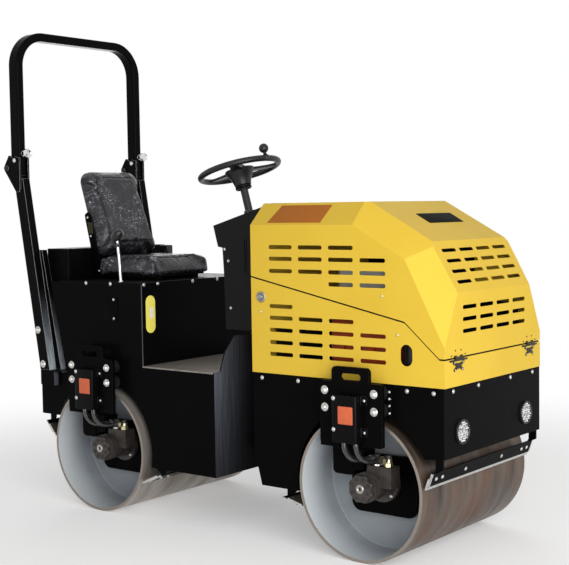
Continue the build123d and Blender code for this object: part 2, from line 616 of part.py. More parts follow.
with BuildPart() as pivot_yoke:
    for z in (YOKE_LOW, YOKE_HIGH):
        with BuildSketch(Plane.XY.offset(z)):
            add(pivot_eye(STEP_FRONT, PIVOT))
        extrude(amount=YOKE_PLATE)
    with BuildSketch(Plane.XY.offset(YOKE_LOW - 12)):
        with Locations((PIVOT, 0)):
            Circle(PIVOT_PIN)
    extrude(amount=YOKE_HIGH - YOKE_LOW + YOKE_PLATE + 24)
write(pivot_yoke, "pivot_yoke")

with BuildPart() as pivot_lugs:
    for z in (YOKE_LOW + YOKE_PLATE + RUNNING_GAP + 1, YOKE_HIGH - YOKE_PLATE - RUNNING_GAP - 1):
        with BuildSketch(Plane.XY.offset(z)):
            add(pivot_eye(FRONT_TAIL, PIVOT))
            with Locations((PIVOT, 0)):
                Circle(PIVOT_PIN + FIT_GAP, mode=Mode.SUBTRACT)
        extrude(amount=YOKE_PLATE)
write(pivot_lugs, "pivot_lugs")

# ---------------------------------------------------------------- front chassis
CHASSIS_TOP = DRUM_TOP + 127.0
SKIRT_Z = AXLE_Z + 148.0
FRONT_FACE = FRONT_AXLE + ARCH_RADIUS + NOSE_DEPTH
TAIL_BOTTOM = AXLE_Z - 50.0
LAMP_Y = BODY_HALF - 125.0
LAMP_Z = CHASSIS_TOP - 172.0
LAMP_RADIUS = 40.0
LAMP_RIM = 46.0

with BuildPart() as front_chassis:
    skirt_edge = ((FRONT_TAIL + 36, TAIL_BOTTOM), (FRONT_TAIL + 16, TAIL_BOTTOM + 75),
                  (FRONT_TAIL, TAIL_BOTTOM + 110), (FRONT_TAIL, CHASSIS_TOP),
                  (FRONT_FACE, CHASSIS_TOP), (FRONT_FACE, SKIRT_Z))
    for _, side in SIDES:
        with BuildSketch(side_plane(side * (BODY_HALF - PLATE))):
            add(side_plate(FRONT_AXLE, TAIL_BOTTOM, SKIRT_Z - 6, skirt_edge))
        extrude(amount=-side * PLATE)
    with BuildSketch(side_plane(BODY_HALF - PLATE)):
        add(arch_liner(FRONT_AXLE, TAIL_BOTTOM, SKIRT_Z - 6))
    extrude(amount=2 * (BODY_HALF - PLATE))
    with BuildSketch(cross_plane(FRONT_FACE - PLATE)):
        with Locations((0, (SKIRT_Z + CHASSIS_TOP) / 2)):
            Rectangle(BODY_WIDTH, CHASSIS_TOP - SKIRT_Z)
        with Locations([(side * LAMP_Y, LAMP_Z) for _, side in SIDES]):
            Circle(LAMP_RADIUS, mode=Mode.SUBTRACT)
    extrude(amount=PLATE)
    with BuildSketch(cross_plane(FRONT_TAIL)):
        with Locations((0, (TAIL_BOTTOM + 110 + CHASSIS_TOP) / 2)):
            Rectangle(BODY_WIDTH, CHASSIS_TOP - TAIL_BOTTOM - 110)
    extrude(amount=PLATE)
    with BuildSketch(Plane.XY.offset(CHASSIS_TOP - PLATE)):
        with Locations(((FRONT_TAIL + FRONT_FACE) / 2, 0)):
            Rectangle(FRONT_FACE - FRONT_TAIL, BODY_WIDTH)
    extrude(amount=PLATE)
write(front_chassis, "front_chassis")

with BuildPart() as headlights:
    with BuildSketch(cross_plane(FRONT_FACE - 40)):
        with Locations([(side * LAMP_Y, LAMP_Z) for _, side in SIDES]):
            Circle(LAMP_RADIUS - FIT_GAP)
    extrude(amount=40)
    with BuildSketch(cross_plane(FRONT_FACE)):
        with Locations([(side * LAMP_Y, LAMP_Z) for _, side in SIDES]):
            Circle(LAMP_RIM)
    extrude(amount=4)
write(headlights, "headlights")

with BuildPart() as engine_block:
    with BuildSketch(Plane.XY.offset(CHASSIS_TOP)):
        with Locations((FRONT_AXLE - 30, 0)):
            Rectangle(370, 360)
    extrude(amount=345)
write(engine_block, "engine_block")

# ---------------------------------------------------------------- cowl and tilting hood
# The two together are one folded sheet body, parted along the seam.
COWL_BOTTOM = CHASSIS_TOP
HOOD_REAR = PIVOT + 92.0
HOOD_FRONT = FRONT_FACE + SHEET
SIDE_TOP_Z = COWL_BOTTOM + 590.0    # edge between the upright side and the sloping edge facet
ROOF_Z = COWL_BOTTOM + 676.0
ROOF_HALF = BODY_HALF - 89.0
ROOF_END = FRONT_AXLE - 16.0
SIDE_END = FRONT_AXLE - 35.0
BREAST_TOP = (FRONT_AXLE + 256.0, COWL_BOTTOM + 526.0)
KNEE = (HOOD_FRONT, COWL_BOTTOM + 340.0)
SIDE_KNEE = (FRONT_AXLE + 196.0, COWL_BOTTOM + 465.0)
SIDE_FOOT = (HOOD_FRONT - 8.0, COWL_BOTTOM + 160.0)
BREAST_HALF = BODY_HALF - 98.0
KNEE_HALF = BODY_HALF - 93.0
# seam from the back to the front, columns: x, height above the cowl's bottom edge
SEAM = ((HOOD_REAR, 381.0), (FRONT_AXLE + 193.0, 229.0), (HOOD_FRONT - 23.0, 101.0), (HOOD_FRONT, 101.0))
SEAM_FRONT_Z = COWL_BOTTOM + SEAM[-1][1]


def facet(a, b, c):
    """Plane through three points, for a flat facet cut across the edge of the body."""
    a, b, c = Vector(*a), Vector(*b), Vector(*c)
    return Plane(origin=a, x_dir=b - a, z_dir=(b - a).cross(c - a))


def body_solid(inset):
    """The folded body as one solid, its faces moved in by inset and its open ends run out past it."""
    run_out = 50.0 if inset else 0.0
    rear = HOOD_REAR - run_out
    bottom = COWL_BOTTOM - run_out
    with BuildPart() as body:
        with BuildSketch(side_plane(BODY_HALF - inset)):
            with BuildLine():
                Polyline((rear, bottom), (rear, ROOF_Z), (ROOF_END, ROOF_Z),
                         BREAST_TOP, KNEE, (HOOD_FRONT, bottom), close=True)
            make_face()
            if inset:
                offset(amount=-inset, kind=Kind.INTERSECTION, mode=Mode.REPLACE)
        extrude(amount=2 * (BODY_HALF - inset))
        for _, side in SIDES:
            roof_edge = facet((HOOD_REAR, side * BODY_HALF, SIDE_TOP_Z),
                              (SIDE_END, side * BODY_HALF, SIDE_TOP_Z),
                              (HOOD_REAR, side * ROOF_HALF, ROOF_Z))
            breast_edge = facet((SIDE_END, side * BODY_HALF, SIDE_TOP_Z),
                                (SIDE_KNEE[0], side * BODY_HALF, SIDE_KNEE[1]),
                                (BREAST_TOP[0], side * BREAST_HALF, BREAST_TOP[1]))
            nose_edge = facet((SIDE_KNEE[0], side * BODY_HALF, SIDE_KNEE[1]),
                              (SIDE_FOOT[0], side * BODY_HALF, SIDE_FOOT[1]),
                              (KNEE[0], side * KNEE_HALF, KNEE[1]))
            for cut in (roof_edge, breast_edge, nose_edge):
                inward = Vector(FRONT_AXLE, 0, COWL_BOTTOM) - cut.origin
                sign = 1 if inward.dot(cut.z_dir) > 0 else -1
                keep = Keep.TOP if sign > 0 else Keep.BOTTOM
                split(bisect_by=cut.offset(sign * inset), keep=keep)
    return body.part


def seam_region(gap):
    """Side view of everything above the seam raised by gap."""
    points = [(x, COWL_BOTTOM + up + gap) for x, up in SEAM]
    with BuildSketch() as region:
        with BuildLine():
            Polyline((HOOD_REAR - 10, points[0][1]), *points, (HOOD_FRONT + 60, points[-1][1]),
                     (HOOD_FRONT + 60, ROOF_Z + 50), (HOOD_REAR - 10, ROOF_Z + 50), close=True)
        make_face()
    return region.sketch


# slots in both sides, columns: height above the cowl's bottom edge, first column, last column
SLOT = (116.0, 16.0)
SLOT_ROUND = 7.0
SLOT_START = HOOD_REAR + 92.0
SLOT_PITCH = 145.0
HOOD_SLOTS = ((503.0, 0, 2), (457.0, 0, 3), (409.0, 0, 3), (363.0, 2, 3))
COWL_SLOTS = ((269.0, 0, 0), (223.0, 0, 2), (175.0, 0, 3), (126.0, 0, 3), (79.0, 0, 3))
NOSE_SLOT = (104.0, 15.0)
NOSE_PITCH = (2 * KNEE_HALF - 52.0) / 4
NOSE_SLOT_UP = (285.0, 241.0, 197.0)
BREAST_SLOT_STEPS = (40.0, 84.0, 128.0, 172.0)
FRONT_CUT = 60.0
VIEW_HOLE = (FRONT_AXLE + 201.0, COWL_BOTTOM + 111.0)

outer_body = body_solid(0.0)
inner_body = body_solid(SHEET)
HOOD_GAP = RUNNING_GAP + 1.0


def slot_centres(rows):
    """Centres of the side slots of a table of rows."""
    return [(SLOT_START + column * SLOT_PITCH + SLOT[0] / 2, COWL_BOTTOM + up)
            for up, first, last in rows for column in range(first, last + 1)]


with BuildPart() as hood:
    add(outer_body)
    add(inner_body, mode=Mode.SUBTRACT)
    with BuildSketch(side_plane(BODY_HALF + 5)):
        add(seam_region(HOOD_GAP))
    extrude(amount=BODY_WIDTH + 10, mode=Mode.INTERSECT)
    with BuildSketch(side_plane(BODY_HALF + 5)):
        with Locations(slot_centres(HOOD_SLOTS)):
            RectangleRounded(*SLOT, SLOT_ROUND)
    extrude(amount=BODY_WIDTH + 10, mode=Mode.SUBTRACT)
    slope = Vector(KNEE[0] - BREAST_TOP[0], 0, KNEE[1] - BREAST_TOP[1])
    breast = Plane(origin=(BREAST_TOP[0], 0, BREAST_TOP[1]), x_dir=(0, 1, 0),
                   z_dir=Vector(0, 1, 0).cross(-slope))
    nose = cross_plane(HOOD_FRONT)
    columns = [NOSE_PITCH * (column - 1.5) for column in range(4)]
    with BuildSketch(breast.offset(FRONT_CUT / 2)):
        with Locations([(y, -step) for y in columns for step in BREAST_SLOT_STEPS]):
            RectangleRounded(*NOSE_SLOT, SLOT_ROUND)
    extrude(amount=-FRONT_CUT, mode=Mode.SUBTRACT)
    with BuildSketch(nose.offset(FRONT_CUT / 2)):
        with Locations([(y, COWL_BOTTOM + up) for y in columns for up in NOSE_SLOT_UP]):
            RectangleRounded(*NOSE_SLOT, SLOT_ROUND)
    extrude(amount=-FRONT_CUT, mode=Mode.SUBTRACT)
write(hood, "hood")

with BuildPart() as lower_cowl:
    add(outer_body)
    add(inner_body, mode=Mode.SUBTRACT)
    with BuildSketch(side_plane(BODY_HALF + 5)):
        add(seam_region(0))
    extrude(amount=BODY_WIDTH + 10, mode=Mode.SUBTRACT)
    with BuildSketch(side_plane(BODY_HALF + 5)):
        with Locations(slot_centres(COWL_SLOTS)):
            RectangleRounded(*SLOT, SLOT_ROUND)
        with Locations(VIEW_HOLE):
            SlotOverall(80, 52, rotation=90)
    extrude(amount=BODY_WIDTH + 10, mode=Mode.SUBTRACT)
write(lower_cowl, "lower_cowl")

# ---------------------------------------------------------------- dash and steering
DASH_HALF = 205.0
DASH_FRONT = PIVOT + 68.0
DASH_LIP = PIVOT - 255.0
DASH_LIP_Z = ROOF_Z - 91.0
DASH_SLOPE = 0.285
DASH_TOP_Z = DASH_LIP_Z + DASH_SLOPE * (DASH_FRONT - DASH_LIP)
DASH_BOTTOM = FLOOR_Z + 164.0
ROOF_TUCK = 13.0            # dash under the hood's roof
dash_lean = degrees(atan2(DASH_SLOPE, 1.0))

with BuildPart() as firewall:
    with BuildSketch(cross_plane(FRONT_TAIL)):
        with BuildLine():
            wide = BODY_HALF - ROOF_TUCK
            narrow = ROOF_HALF - 10
            Polyline((-wide, CHASSIS_TOP), (-wide, SIDE_TOP_Z - 15), (-narrow, ROOF_Z - 15),
                     (narrow, ROOF_Z - 15), (wide, SIDE_TOP_Z - 15), (wide, CHASSIS_TOP), close=True)
        make_face()
    extrude(amount=PLATE)
write(firewall, "firewall")


def dash_outline(drop, inset):
    """Side view of the dash box, its open bottom lowered by drop and its walls moved in by inset."""
    with BuildSketch() as outline:
        with BuildLine():
            Polyline((PIVOT - 192, DASH_BOTTOM - drop), (PIVOT - 198, DASH_LIP_Z - 214),
                     (PIVOT - 205, DASH_LIP_Z - 94), (PIVOT - 230, DASH_LIP_Z - 90),
                     (DASH_LIP, DASH_LIP_Z), (DASH_FRONT, DASH_TOP_Z),
                     (DASH_FRONT + 12, ROOF_Z - ROOF_TUCK), (FRONT_TAIL, ROOF_Z - ROOF_TUCK),
                     (FRONT_TAIL, DASH_BOTTOM - drop), close=True)
        make_face()
        if inset:
            offset(amount=-inset, kind=Kind.INTERSECTION, mode=Mode.REPLACE)
    return outline.sketch


COLUMN_X = PIVOT - 210.0
COLUMN_FOOT_Z = DASH_LIP_Z + DASH_SLOPE * (COLUMN_X - DASH_LIP)
COLUMN_RADIUS = 17.0
COLUMN_LENGTH = 196.0
SPINDLE_RADIUS = 9.0
SPINDLE_LENGTH = 38.0
column_plane = Plane(origin=(COLUMN_X, 0, COLUMN_FOOT_Z), x_dir=(0, 1, 0),
                     z_dir=(-sin(radians(dash_lean)), 0, cos(radians(dash_lean))))

with BuildPart() as dash:
    with BuildSketch(side_plane(DASH_HALF)):
        add(dash_outline(0, 0))
    extrude(amount=2 * DASH_HALF)
    with BuildSketch(side_plane(DASH_HALF - SHEET)):
        add(dash_outline(30, SHEET))
    extrude(amount=2 * (DASH_HALF - SHEET), mode=Mode.SUBTRACT)
    with BuildSketch(column_plane.offset(-20)):
        Circle(COLUMN_RADIUS + FIT_GAP)
    extrude(amount=40, mode=Mode.SUBTRACT)
write(dash, "dash")

with BuildPart() as steering_column:
    # columns: start and end along the column, radius
    for start, end, radius in ((-60, COLUMN_LENGTH, COLUMN_RADIUS), (0, 34, 30),
                               (COLUMN_LENGTH, COLUMN_LENGTH + SPINDLE_LENGTH, SPINDLE_RADIUS)):
        with BuildSketch(column_plane.offset(start)):
            Circle(radius)
        extrude(amount=end - start)
write(steering_column, "steering_column")

RIM_RADIUS = 175.0
RIM_TUBE = 12.5
RIM_UP = COLUMN_LENGTH + 40.0
HUB_UP = COLUMN_LENGTH + FIT_GAP
HUB_SIZE = (34.0, 46.0)     # radius and height
SPOKES = 3
KNOB_RADIUS = 22.0
KNOB_STEM = 7.0
KNOB_UP = 44.0
KNOB_TURN = radians(6.6)    # from straight ahead towards the right

with BuildPart() as steering_wheel:
    with BuildSketch(column_plane.offset(HUB_UP)):
        Circle(HUB_SIZE[0])
    extrude(amount=HUB_SIZE[1])
    with BuildSketch(column_plane.offset(HUB_UP + 20)):
        with PolarLocations(0, SPOKES, start_angle=30):
            with Locations((RIM_RADIUS / 2, 0)):
                Rectangle(RIM_RADIUS, 30)
    extrude(amount=10)
    with BuildSketch(Plane(origin=column_plane.origin + column_plane.z_dir * RIM_UP,
                           x_dir=column_plane.x_dir, z_dir=column_plane.y_dir)):
        with Locations((RIM_RADIUS, 0)):
            Circle(RIM_TUBE)
    revolve(axis=Axis(column_plane.origin, column_plane.z_dir))
    with BuildSketch(column_plane.offset(HUB_UP)):
        Circle(SPINDLE_RADIUS + FIT_GAP)
    extrude(amount=SPINDLE_LENGTH, mode=Mode.SUBTRACT)
    # spinner knob on the forward part of the rim
    knob_place = (-RIM_RADIUS * sin(KNOB_TURN), -RIM_RADIUS * cos(KNOB_TURN))
    with BuildSketch(column_plane.offset(RIM_UP)):
        with Locations(knob_place):
            Circle(KNOB_STEM)
    extrude(amount=KNOB_UP)
    with Locations(column_plane * Location((*knob_place, RIM_UP + KNOB_UP))):
        Sphere(KNOB_RADIUS)
write(steering_wheel, "steering_wheel")

# ---------------------------------------------------------------- steering cylinder
# Lies on the left side, from a clevis on the rear arch liner to one on the front chassis.
BARREL_PIN_X = REAR_AXLE + ARCH_RADIUS + 37.0
ROD_PIN_X = PIVOT + 55.0
BARREL_RADIUS = 26.0
BARREL_WALL = 6.0
ROD_RADIUS = 12.0
EYE_RADIUS = 20.0
EYE_THICK = 26.0
EYE_PIN = 9.0
CLEVIS_PLATE = 8.0
BARREL_START = 36.0         # from the barrel's pin
BARREL_LENGTH = 250.0
PISTON_AT = 150.0

cylinder_plane = Plane(origin=(0, CYLINDER_Y, CYLINDER_Z), x_dir=(0, 1, 0), z_dir=(1, 0, 0))

with BuildPart() as steering_barrel:
    with BuildSketch(Plane.XY.offset(CYLINDER_Z - EYE_THICK / 2)):
        with Locations((BARREL_PIN_X, CYLINDER_Y)):
            Circle(EYE_RADIUS)
        with Locations((BARREL_PIN_X + BARREL_START / 2 + 6, CYLINDER_Y)):
            Rectangle(BARREL_START + 12, EYE_THICK)
        with Locations((BARREL_PIN_X, CYLINDER_Y)):
            Circle(EYE_PIN + FIT_GAP, mode=Mode.SUBTRACT)
    extrude(amount=EYE_THICK)
    with BuildSketch(cylinder_plane.offset(BARREL_PIN_X + BARREL_START)):
        Circle(BARREL_RADIUS)
    extrude(amount=BARREL_LENGTH)
    with BuildSketch(cylinder_plane.offset(BARREL_PIN_X + BARREL_START + BARREL_WALL)):
        Circle(BARREL_RADIUS - BARREL_WALL)
    extrude(amount=BARREL_LENGTH - 2 * BARREL_WALL, mode=Mode.SUBTRACT)
    with BuildSketch(cylinder_plane.offset(BARREL_PIN_X + BARREL_START)):
        Circle(ROD_RADIUS + FIT_GAP)
    with BuildSketch(cylinder_plane.offset(BARREL_PIN_X + BARREL_START + BARREL_LENGTH)):
        Circle(ROD_RADIUS + FIT_GAP)
    extrude(amount=-2 * BARREL_WALL, mode=Mode.SUBTRACT)
write(steering_barrel, "steering_barrel")

with BuildPart() as steering_rod:
    piston = BARREL_PIN_X + PISTON_AT
    with BuildSketch(cylinder_plane.offset(piston)):
        Circle(BARREL_RADIUS - BARREL_WALL - FIT_GAP)
    extrude(amount=14)
    with BuildSketch(cylinder_plane.offset(piston)):
        Circle(ROD_RADIUS)
    extrude(amount=ROD_PIN_X - EYE_RADIUS + 4 - piston)
    with BuildSketch(Plane.XY.offset(CYLINDER_Z - EYE_THICK / 2)):
        with Locations((ROD_PIN_X, CYLINDER_Y)):
            Circle(EYE_RADIUS)
    extrude(amount=EYE_THICK)
write(steering_rod, "steering_rod")

with BuildPart() as barrel_clevis:
    plate_start = REAR_AXLE + arch_x(ARCH_RADIUS, CYLINDER_Z + EYE_THICK)
    for z in (CYLINDER_Z + EYE_THICK / 2 + FIT_GAP,
              CYLINDER_Z - EYE_THICK / 2 - FIT_GAP - CLEVIS_PLATE):
        with BuildSketch(Plane.XY.offset(z)):
            with Locations(((plate_start + BARREL_PIN_X) / 2, CYLINDER_Y)):
                Rectangle(BARREL_PIN_X - plate_start, 52)
            with Locations((BARREL_PIN_X, CYLINDER_Y)):
                Circle(26)
        extrude(amount=CLEVIS_PLATE)
    # the plates end on the curved liner
    with BuildSketch(side_plane(CYLINDER_Y + 50)):
        with Locations((REAR_AXLE, AXLE_Z)):
            Circle(ARCH_RADIUS + PLATE)
    extrude(amount=100, mode=Mode.SUBTRACT)
    with BuildSketch(Plane.XY.offset(CYLINDER_Z - EYE_THICK / 2 - CLEVIS_PLATE - 6)):
        with Locations((BARREL_PIN_X, CYLINDER_Y)):
            Circle(EYE_PIN)
    extrude(amount=EYE_THICK + 2 * CLEVIS_PLATE + 12)
write(barrel_clevis, "barrel_clevis")

# the rod's eye floats between these plates, with no pin through it
with BuildPart() as rod_clevis:
    for z in (CYLINDER_Z + EYE_THICK / 2 + FIT_GAP,
              CYLINDER_Z - EYE_THICK / 2 - FIT_GAP - CLEVIS_PLATE):
        with BuildSketch(Plane.XY.offset(z)):
            with Locations(((FRONT_TAIL + ROD_PIN_X) / 2, CYLINDER_Y)):
                Rectangle(FRONT_TAIL - ROD_PIN_X, 70)
            with Locations((ROD_PIN_X, CYLINDER_Y)):
                Circle(35)
        extrude(amount=CLEVIS_PLATE)
write(rod_clevis, "rod_clevis")

# ---------------------------------------------------------------- drum scrapers
BLADE = 6.0
HOLDER = 5.0
HOLDER_REST = 24.0          # holder past the end of the blade
SCRAPER_HALF = DRUM_HALF - 5.0
HANGER = 8.0
HANGER_LAP = 4.0            # clear of the blade's end and of the arch
HANGER_RISE = 60.0          # hanger above the side plate's bottom edge

# columns: end of the machine, axle, which way from the axle, tip angle above the axle,
# blade angle above level, blade length, bottom edge of the side plate that it hangs from,
# toe of the hangers past the holder
SCRAPERS = (("front", FRONT_AXLE, 1, 6.8, 70.0, 46.0, SKIRT_Z, 31.0),
            ("front", FRONT_AXLE, -1, -20.0, 15.0, 74.0, TAIL_BOTTOM, 0.0),
            ("rear", REAR_AXLE, 1, -25.0, 25.0, 100.0, STEP_BOTTOM, 0.0),
            ("rear", REAR_AXLE, -1, 5.7, 50.0, 66.0, REAR_SKIRT_Z, 0.0))


def strip(tip, way, out, start, stop, near, far):
    """Side view of a flat bar along a way from the tip, between two distances out from that line."""
    corners = [tip + way * along + out * off
               for along, off in ((start, near), (stop, near), (stop, far), (start, far))]
    with BuildSketch() as bar:
        with BuildLine():
            Polyline(*[(corner.X, corner.Y) for corner in corners], close=True)
        make_face()
    return bar.sketch


def scraper_sections(axle, way_sign, tip_angle, blade_angle, length, plate_edge, toe_length):
    """Side views of one scraper's blade, of the bar that holds it and of its hangers."""
    reach = DRUM_RADIUS + RUNNING_GAP + BLADE
    tip = Vector(axle + way_sign * reach * cos(radians(tip_angle)),
                 AXLE_Z + reach * sin(radians(tip_angle)))
    way = Vector(way_sign * cos(radians(blade_angle)), sin(radians(blade_angle)))
    out = Vector(way_sign * sin(radians(blade_angle)), -cos(radians(blade_angle)))
    blade = strip(tip, way, out, 0, length, -BLADE / 2, BLADE / 2)
    holder = strip(tip, way, out, 0.35 * length, length + HOLDER_REST, BLADE / 2, BLADE / 2 + HOLDER)
    near = tip + way * (length + HANGER_LAP) - out * (BLADE / 2)
    foot = near + out * (BLADE + HOLDER)
    heel = foot + way * (HOLDER_REST - 2 * HANGER_LAP)
    toe = [heel + Vector(way_sign * toe_length, toe_length / 2)] if toe_length else []
    outer_x = heel.X + way_sign * toe_length
    inner_x = axle + way_sign * (ARCH_RADIUS + PLATE + HANGER_LAP)
    top = plate_edge + HANGER_RISE
    with BuildSketch() as hanger:
        with BuildLine():
            Polyline(*[(corner.X, corner.Y) for corner in (near, foot, heel, *toe)],
                     (outer_x, top), (inner_x, top), (inner_x, near.Y + 25), close=True)
        make_face()
        add(holder, mode=Mode.SUBTRACT)
    return blade, holder, hanger.sketch


for end in ("front", "rear"):
    scrapers = [scraper_sections(*row[1:]) for row in SCRAPERS if row[0] == end]
    with BuildPart() as blades:
        for blade, _, _ in scrapers:
            with BuildSketch(side_plane(SCRAPER_HALF)):
                add(blade)
            extrude(amount=2 * SCRAPER_HALF)
    write(blades, f"{end}_scraper_blades")
    with BuildPart() as holders:
        for _, holder, _ in scrapers:
            with BuildSketch(side_plane(SCRAPER_HALF)):
                add(holder)
            extrude(amount=2 * SCRAPER_HALF)
    write(holders, f"{end}_scraper_holders")
    with BuildPart() as hangers:
        for _, _, hanger in scrapers:
            for _, side in SIDES:
                with BuildSketch(side_plane(side * (BODY_HALF - PLATE))):
                    add(hanger)
                extrude(amount=side * HANGER)
    write(hangers, f"{end}_scraper_hangers")

# ---------------------------------------------------------------- hinges of the hood
HINGE_Y = KNEE_HALF - 2.0
HINGE_RADIUS = HINGE_DEPTH / 2
HINGE_PIN = 2.0
HINGE_X = HOOD_FRONT + HINGE_RADIUS
HINGE_Z = SEAM_FRONT_Z + HOOD_GAP / 2
LEAF = 3.0
LEAF_HEIGHT = 40.0
LEAF_LENGTH = 62.0
# knuckles, columns: start and end along Y from the middle of the hinge
OUTER_KNUCKLES = ((-31.0, -12.0), (12.0, 31.0))
MIDDLE_KNUCKLE = (-11.0, 11.0)

with BuildPart() as hood_hinges:
    for _, side in SIDES:
        for start, stop in OUTER_KNUCKLES:
            with BuildSketch(side_plane(side * HINGE_Y + stop)):
                with Locations((HINGE_X, HINGE_Z)):
                    Circle(HINGE_RADIUS)
                with Locations((HOOD_FRONT + LEAF / 2, HINGE_Z + HOOD_GAP / 2 + LEAF_HEIGHT / 2)):
                    Rectangle(LEAF, LEAF_HEIGHT)
                with Locations((HOOD_FRONT + LEAF / 2, HINGE_Z + HOOD_GAP / 2)):
                    Rectangle(LEAF, HOOD_GAP)
                with Locations((HINGE_X, HINGE_Z)):
                    Circle(HINGE_PIN + FIT_GAP, mode=Mode.SUBTRACT)
            extrude(amount=stop - start)
        with BuildSketch(cross_plane(HOOD_FRONT)):
            with Locations((side * HINGE_Y, HINGE_Z + HOOD_GAP + LEAF_HEIGHT / 2)):
                Rectangle(LEAF_LENGTH, LEAF_HEIGHT - HOOD_GAP)
        extrude(amount=LEAF)
write(hood_hinges, "hood_hinges")

with BuildPart() as cowl_hinges:
    for _, side in SIDES:
        start, stop = MIDDLE_KNUCKLE
        with BuildSketch(side_plane(side * HINGE_Y + stop)):
            with Locations((HINGE_X, HINGE_Z)):
                Circle(HINGE_RADIUS)
            with Locations((HOOD_FRONT + LEAF / 2, HINGE_Z - HOOD_GAP)):
                Rectangle(LEAF, 2 * HOOD_GAP)
        extrude(amount=stop - start)
        with BuildSketch(side_plane(side * HINGE_Y + LEAF_LENGTH / 2)):
            with Locations((HINGE_X, HINGE_Z)):
                Circle(HINGE_PIN)
        extrude(amount=LEAF_LENGTH)
        with BuildSketch(cross_plane(HOOD_FRONT)):
            with Locations((side * HINGE_Y, HINGE_Z - HOOD_GAP - LEAF_HEIGHT / 2)):
                Rectangle(LEAF_LENGTH, LEAF_HEIGHT - HOOD_GAP)
        extrude(amount=LEAF)
write(cowl_hinges, "cowl_hinges")
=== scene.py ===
"""Ride-on tandem drum roller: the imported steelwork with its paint, fasteners, seat and fittings.

Everything is in metres in the row frame: +X forward, +Y left, +Z up, ground at z = 0.
"""

import json
import logging
import math
from collections.abc import Callable, Iterable, Sequence
from dataclasses import dataclass, replace
from enum import Enum
from functools import partial
from typing import Any

import bmesh
import bpy
import numpy as np
from mathutils import Matrix, Vector, noise
from mathutils.bvhtree import BVHTree


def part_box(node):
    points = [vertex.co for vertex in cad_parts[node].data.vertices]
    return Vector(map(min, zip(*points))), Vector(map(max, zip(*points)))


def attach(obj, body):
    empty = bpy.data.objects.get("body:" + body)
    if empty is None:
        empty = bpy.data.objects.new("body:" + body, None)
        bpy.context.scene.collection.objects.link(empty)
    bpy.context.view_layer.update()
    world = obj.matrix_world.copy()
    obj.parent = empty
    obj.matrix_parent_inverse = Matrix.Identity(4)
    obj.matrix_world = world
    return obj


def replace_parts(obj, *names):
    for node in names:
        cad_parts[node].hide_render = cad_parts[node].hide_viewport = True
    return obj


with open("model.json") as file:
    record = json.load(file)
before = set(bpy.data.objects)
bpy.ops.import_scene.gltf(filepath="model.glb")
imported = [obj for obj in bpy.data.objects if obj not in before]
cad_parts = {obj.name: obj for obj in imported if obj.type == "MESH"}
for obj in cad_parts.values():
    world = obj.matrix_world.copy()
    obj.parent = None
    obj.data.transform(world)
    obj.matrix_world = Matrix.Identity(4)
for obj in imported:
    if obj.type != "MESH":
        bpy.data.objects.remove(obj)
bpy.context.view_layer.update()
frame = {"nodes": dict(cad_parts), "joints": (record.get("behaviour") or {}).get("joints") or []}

LOG = logging.getLogger("roller")
UP = Vector((0.0, 0.0, 1.0))
AHEAD = Vector((1.0, 0.0, 0.0))
Colour = tuple[float, float, float, float]
Tree = bpy.types.ShaderNodeTree
Node = bpy.types.Node
Object = bpy.types.Object
Socket = bpy.types.NodeSocket
AddNode = Callable[..., Node]
Pair = tuple[float, float]
Triple = tuple[float, float, float]
Row = tuple[float, ...]
Profile = tuple[Pair, ...]      # radius and height, or two coordinates, of each corner


# ---------------------------------------------------------------- materials
# Inputs by place: MapRange has value, from low, from high, to low, to high; a colour Mix has share, 6 and 7.


def linear(code: str) -> Colour:
    """Turns an sRGB hex colour into linear light.

    Args:
        code: six hex digits, such as "DEB63F".

    Returns:
        Red, green, blue and an alpha of 1.
    """
    channels = [int(code[i:i + 2], 16) / 255 for i in (0, 2, 4)]
    red, green, blue = (c / 12.92 if c <= 0.04045 else ((c + 0.055) / 1.055) ** 2.4 for c in channels)
    return red, green, blue, 1.0


def per_metre(size_mm: float) -> float:
    """Texture scale at which one feature is size_mm wide."""
    return 1000.0 / size_mm


def add_node(tree: Tree, kind: str, inputs: dict[str | int, Any] | None = None, **settings: Any) -> Node:
    """Adds one shader node with its settings and links.

    Args:
        tree: the material's or world's node tree.
        kind: the node's type without "ShaderNode".
        inputs: by name or place: values, hex colours, output sockets, or nodes for their first output in use.
        **settings: the node's own options.

    Returns:
        The node.
    """
    node = tree.nodes.new("ShaderNode" + kind)
    for option, value in settings.items():
        setattr(node, option, value)
    for place, value in (inputs or {}).items():
        if isinstance(value, bpy.types.Node):
            value = next(socket for socket in value.outputs if socket.enabled)
        elif isinstance(value, str):
            value = linear(value)
        if isinstance(value, bpy.types.NodeSocket):
            tree.links.new(value, node.inputs[place])
        else:
            node.inputs[place].default_value = value
    return node


def bare_tree(owner: bpy.types.Material | bpy.types.World) -> Tree:
    """Turns on the nodes of a material or world and hands over its emptied tree."""
    owner.use_nodes = True
    owner.node_tree.nodes.clear()
    return owner.node_tree


@dataclass(frozen=True)
class Finish:
    """A surface finish. It makes its material once and hands the same one to every piece."""

    name: str
    slot: str = "black_paint"   # the record's material slot that such a piece takes its finish from

    def material(self) -> bpy.types.Material:
        """The finish's material, made on first use."""
        made = bpy.data.materials.get(self.name)
        if made is None:
            made = bpy.data.materials.new(self.name)
            add = partial(add_node, bare_tree(made))
            shader = self.lay(add, add("TexCoord").outputs["Object"])
            add("OutputMaterial", {"Surface": shader})
        return made

    def lay(self, add: AddNode, where: Socket) -> Node:
        """Lays the finish's nodes.

        Args:
            add: adds a node to the material's tree, as add_node does.
            where: the place on the piece, in metres.

        Returns:
            The shader node.
        """
        raise NotImplementedError


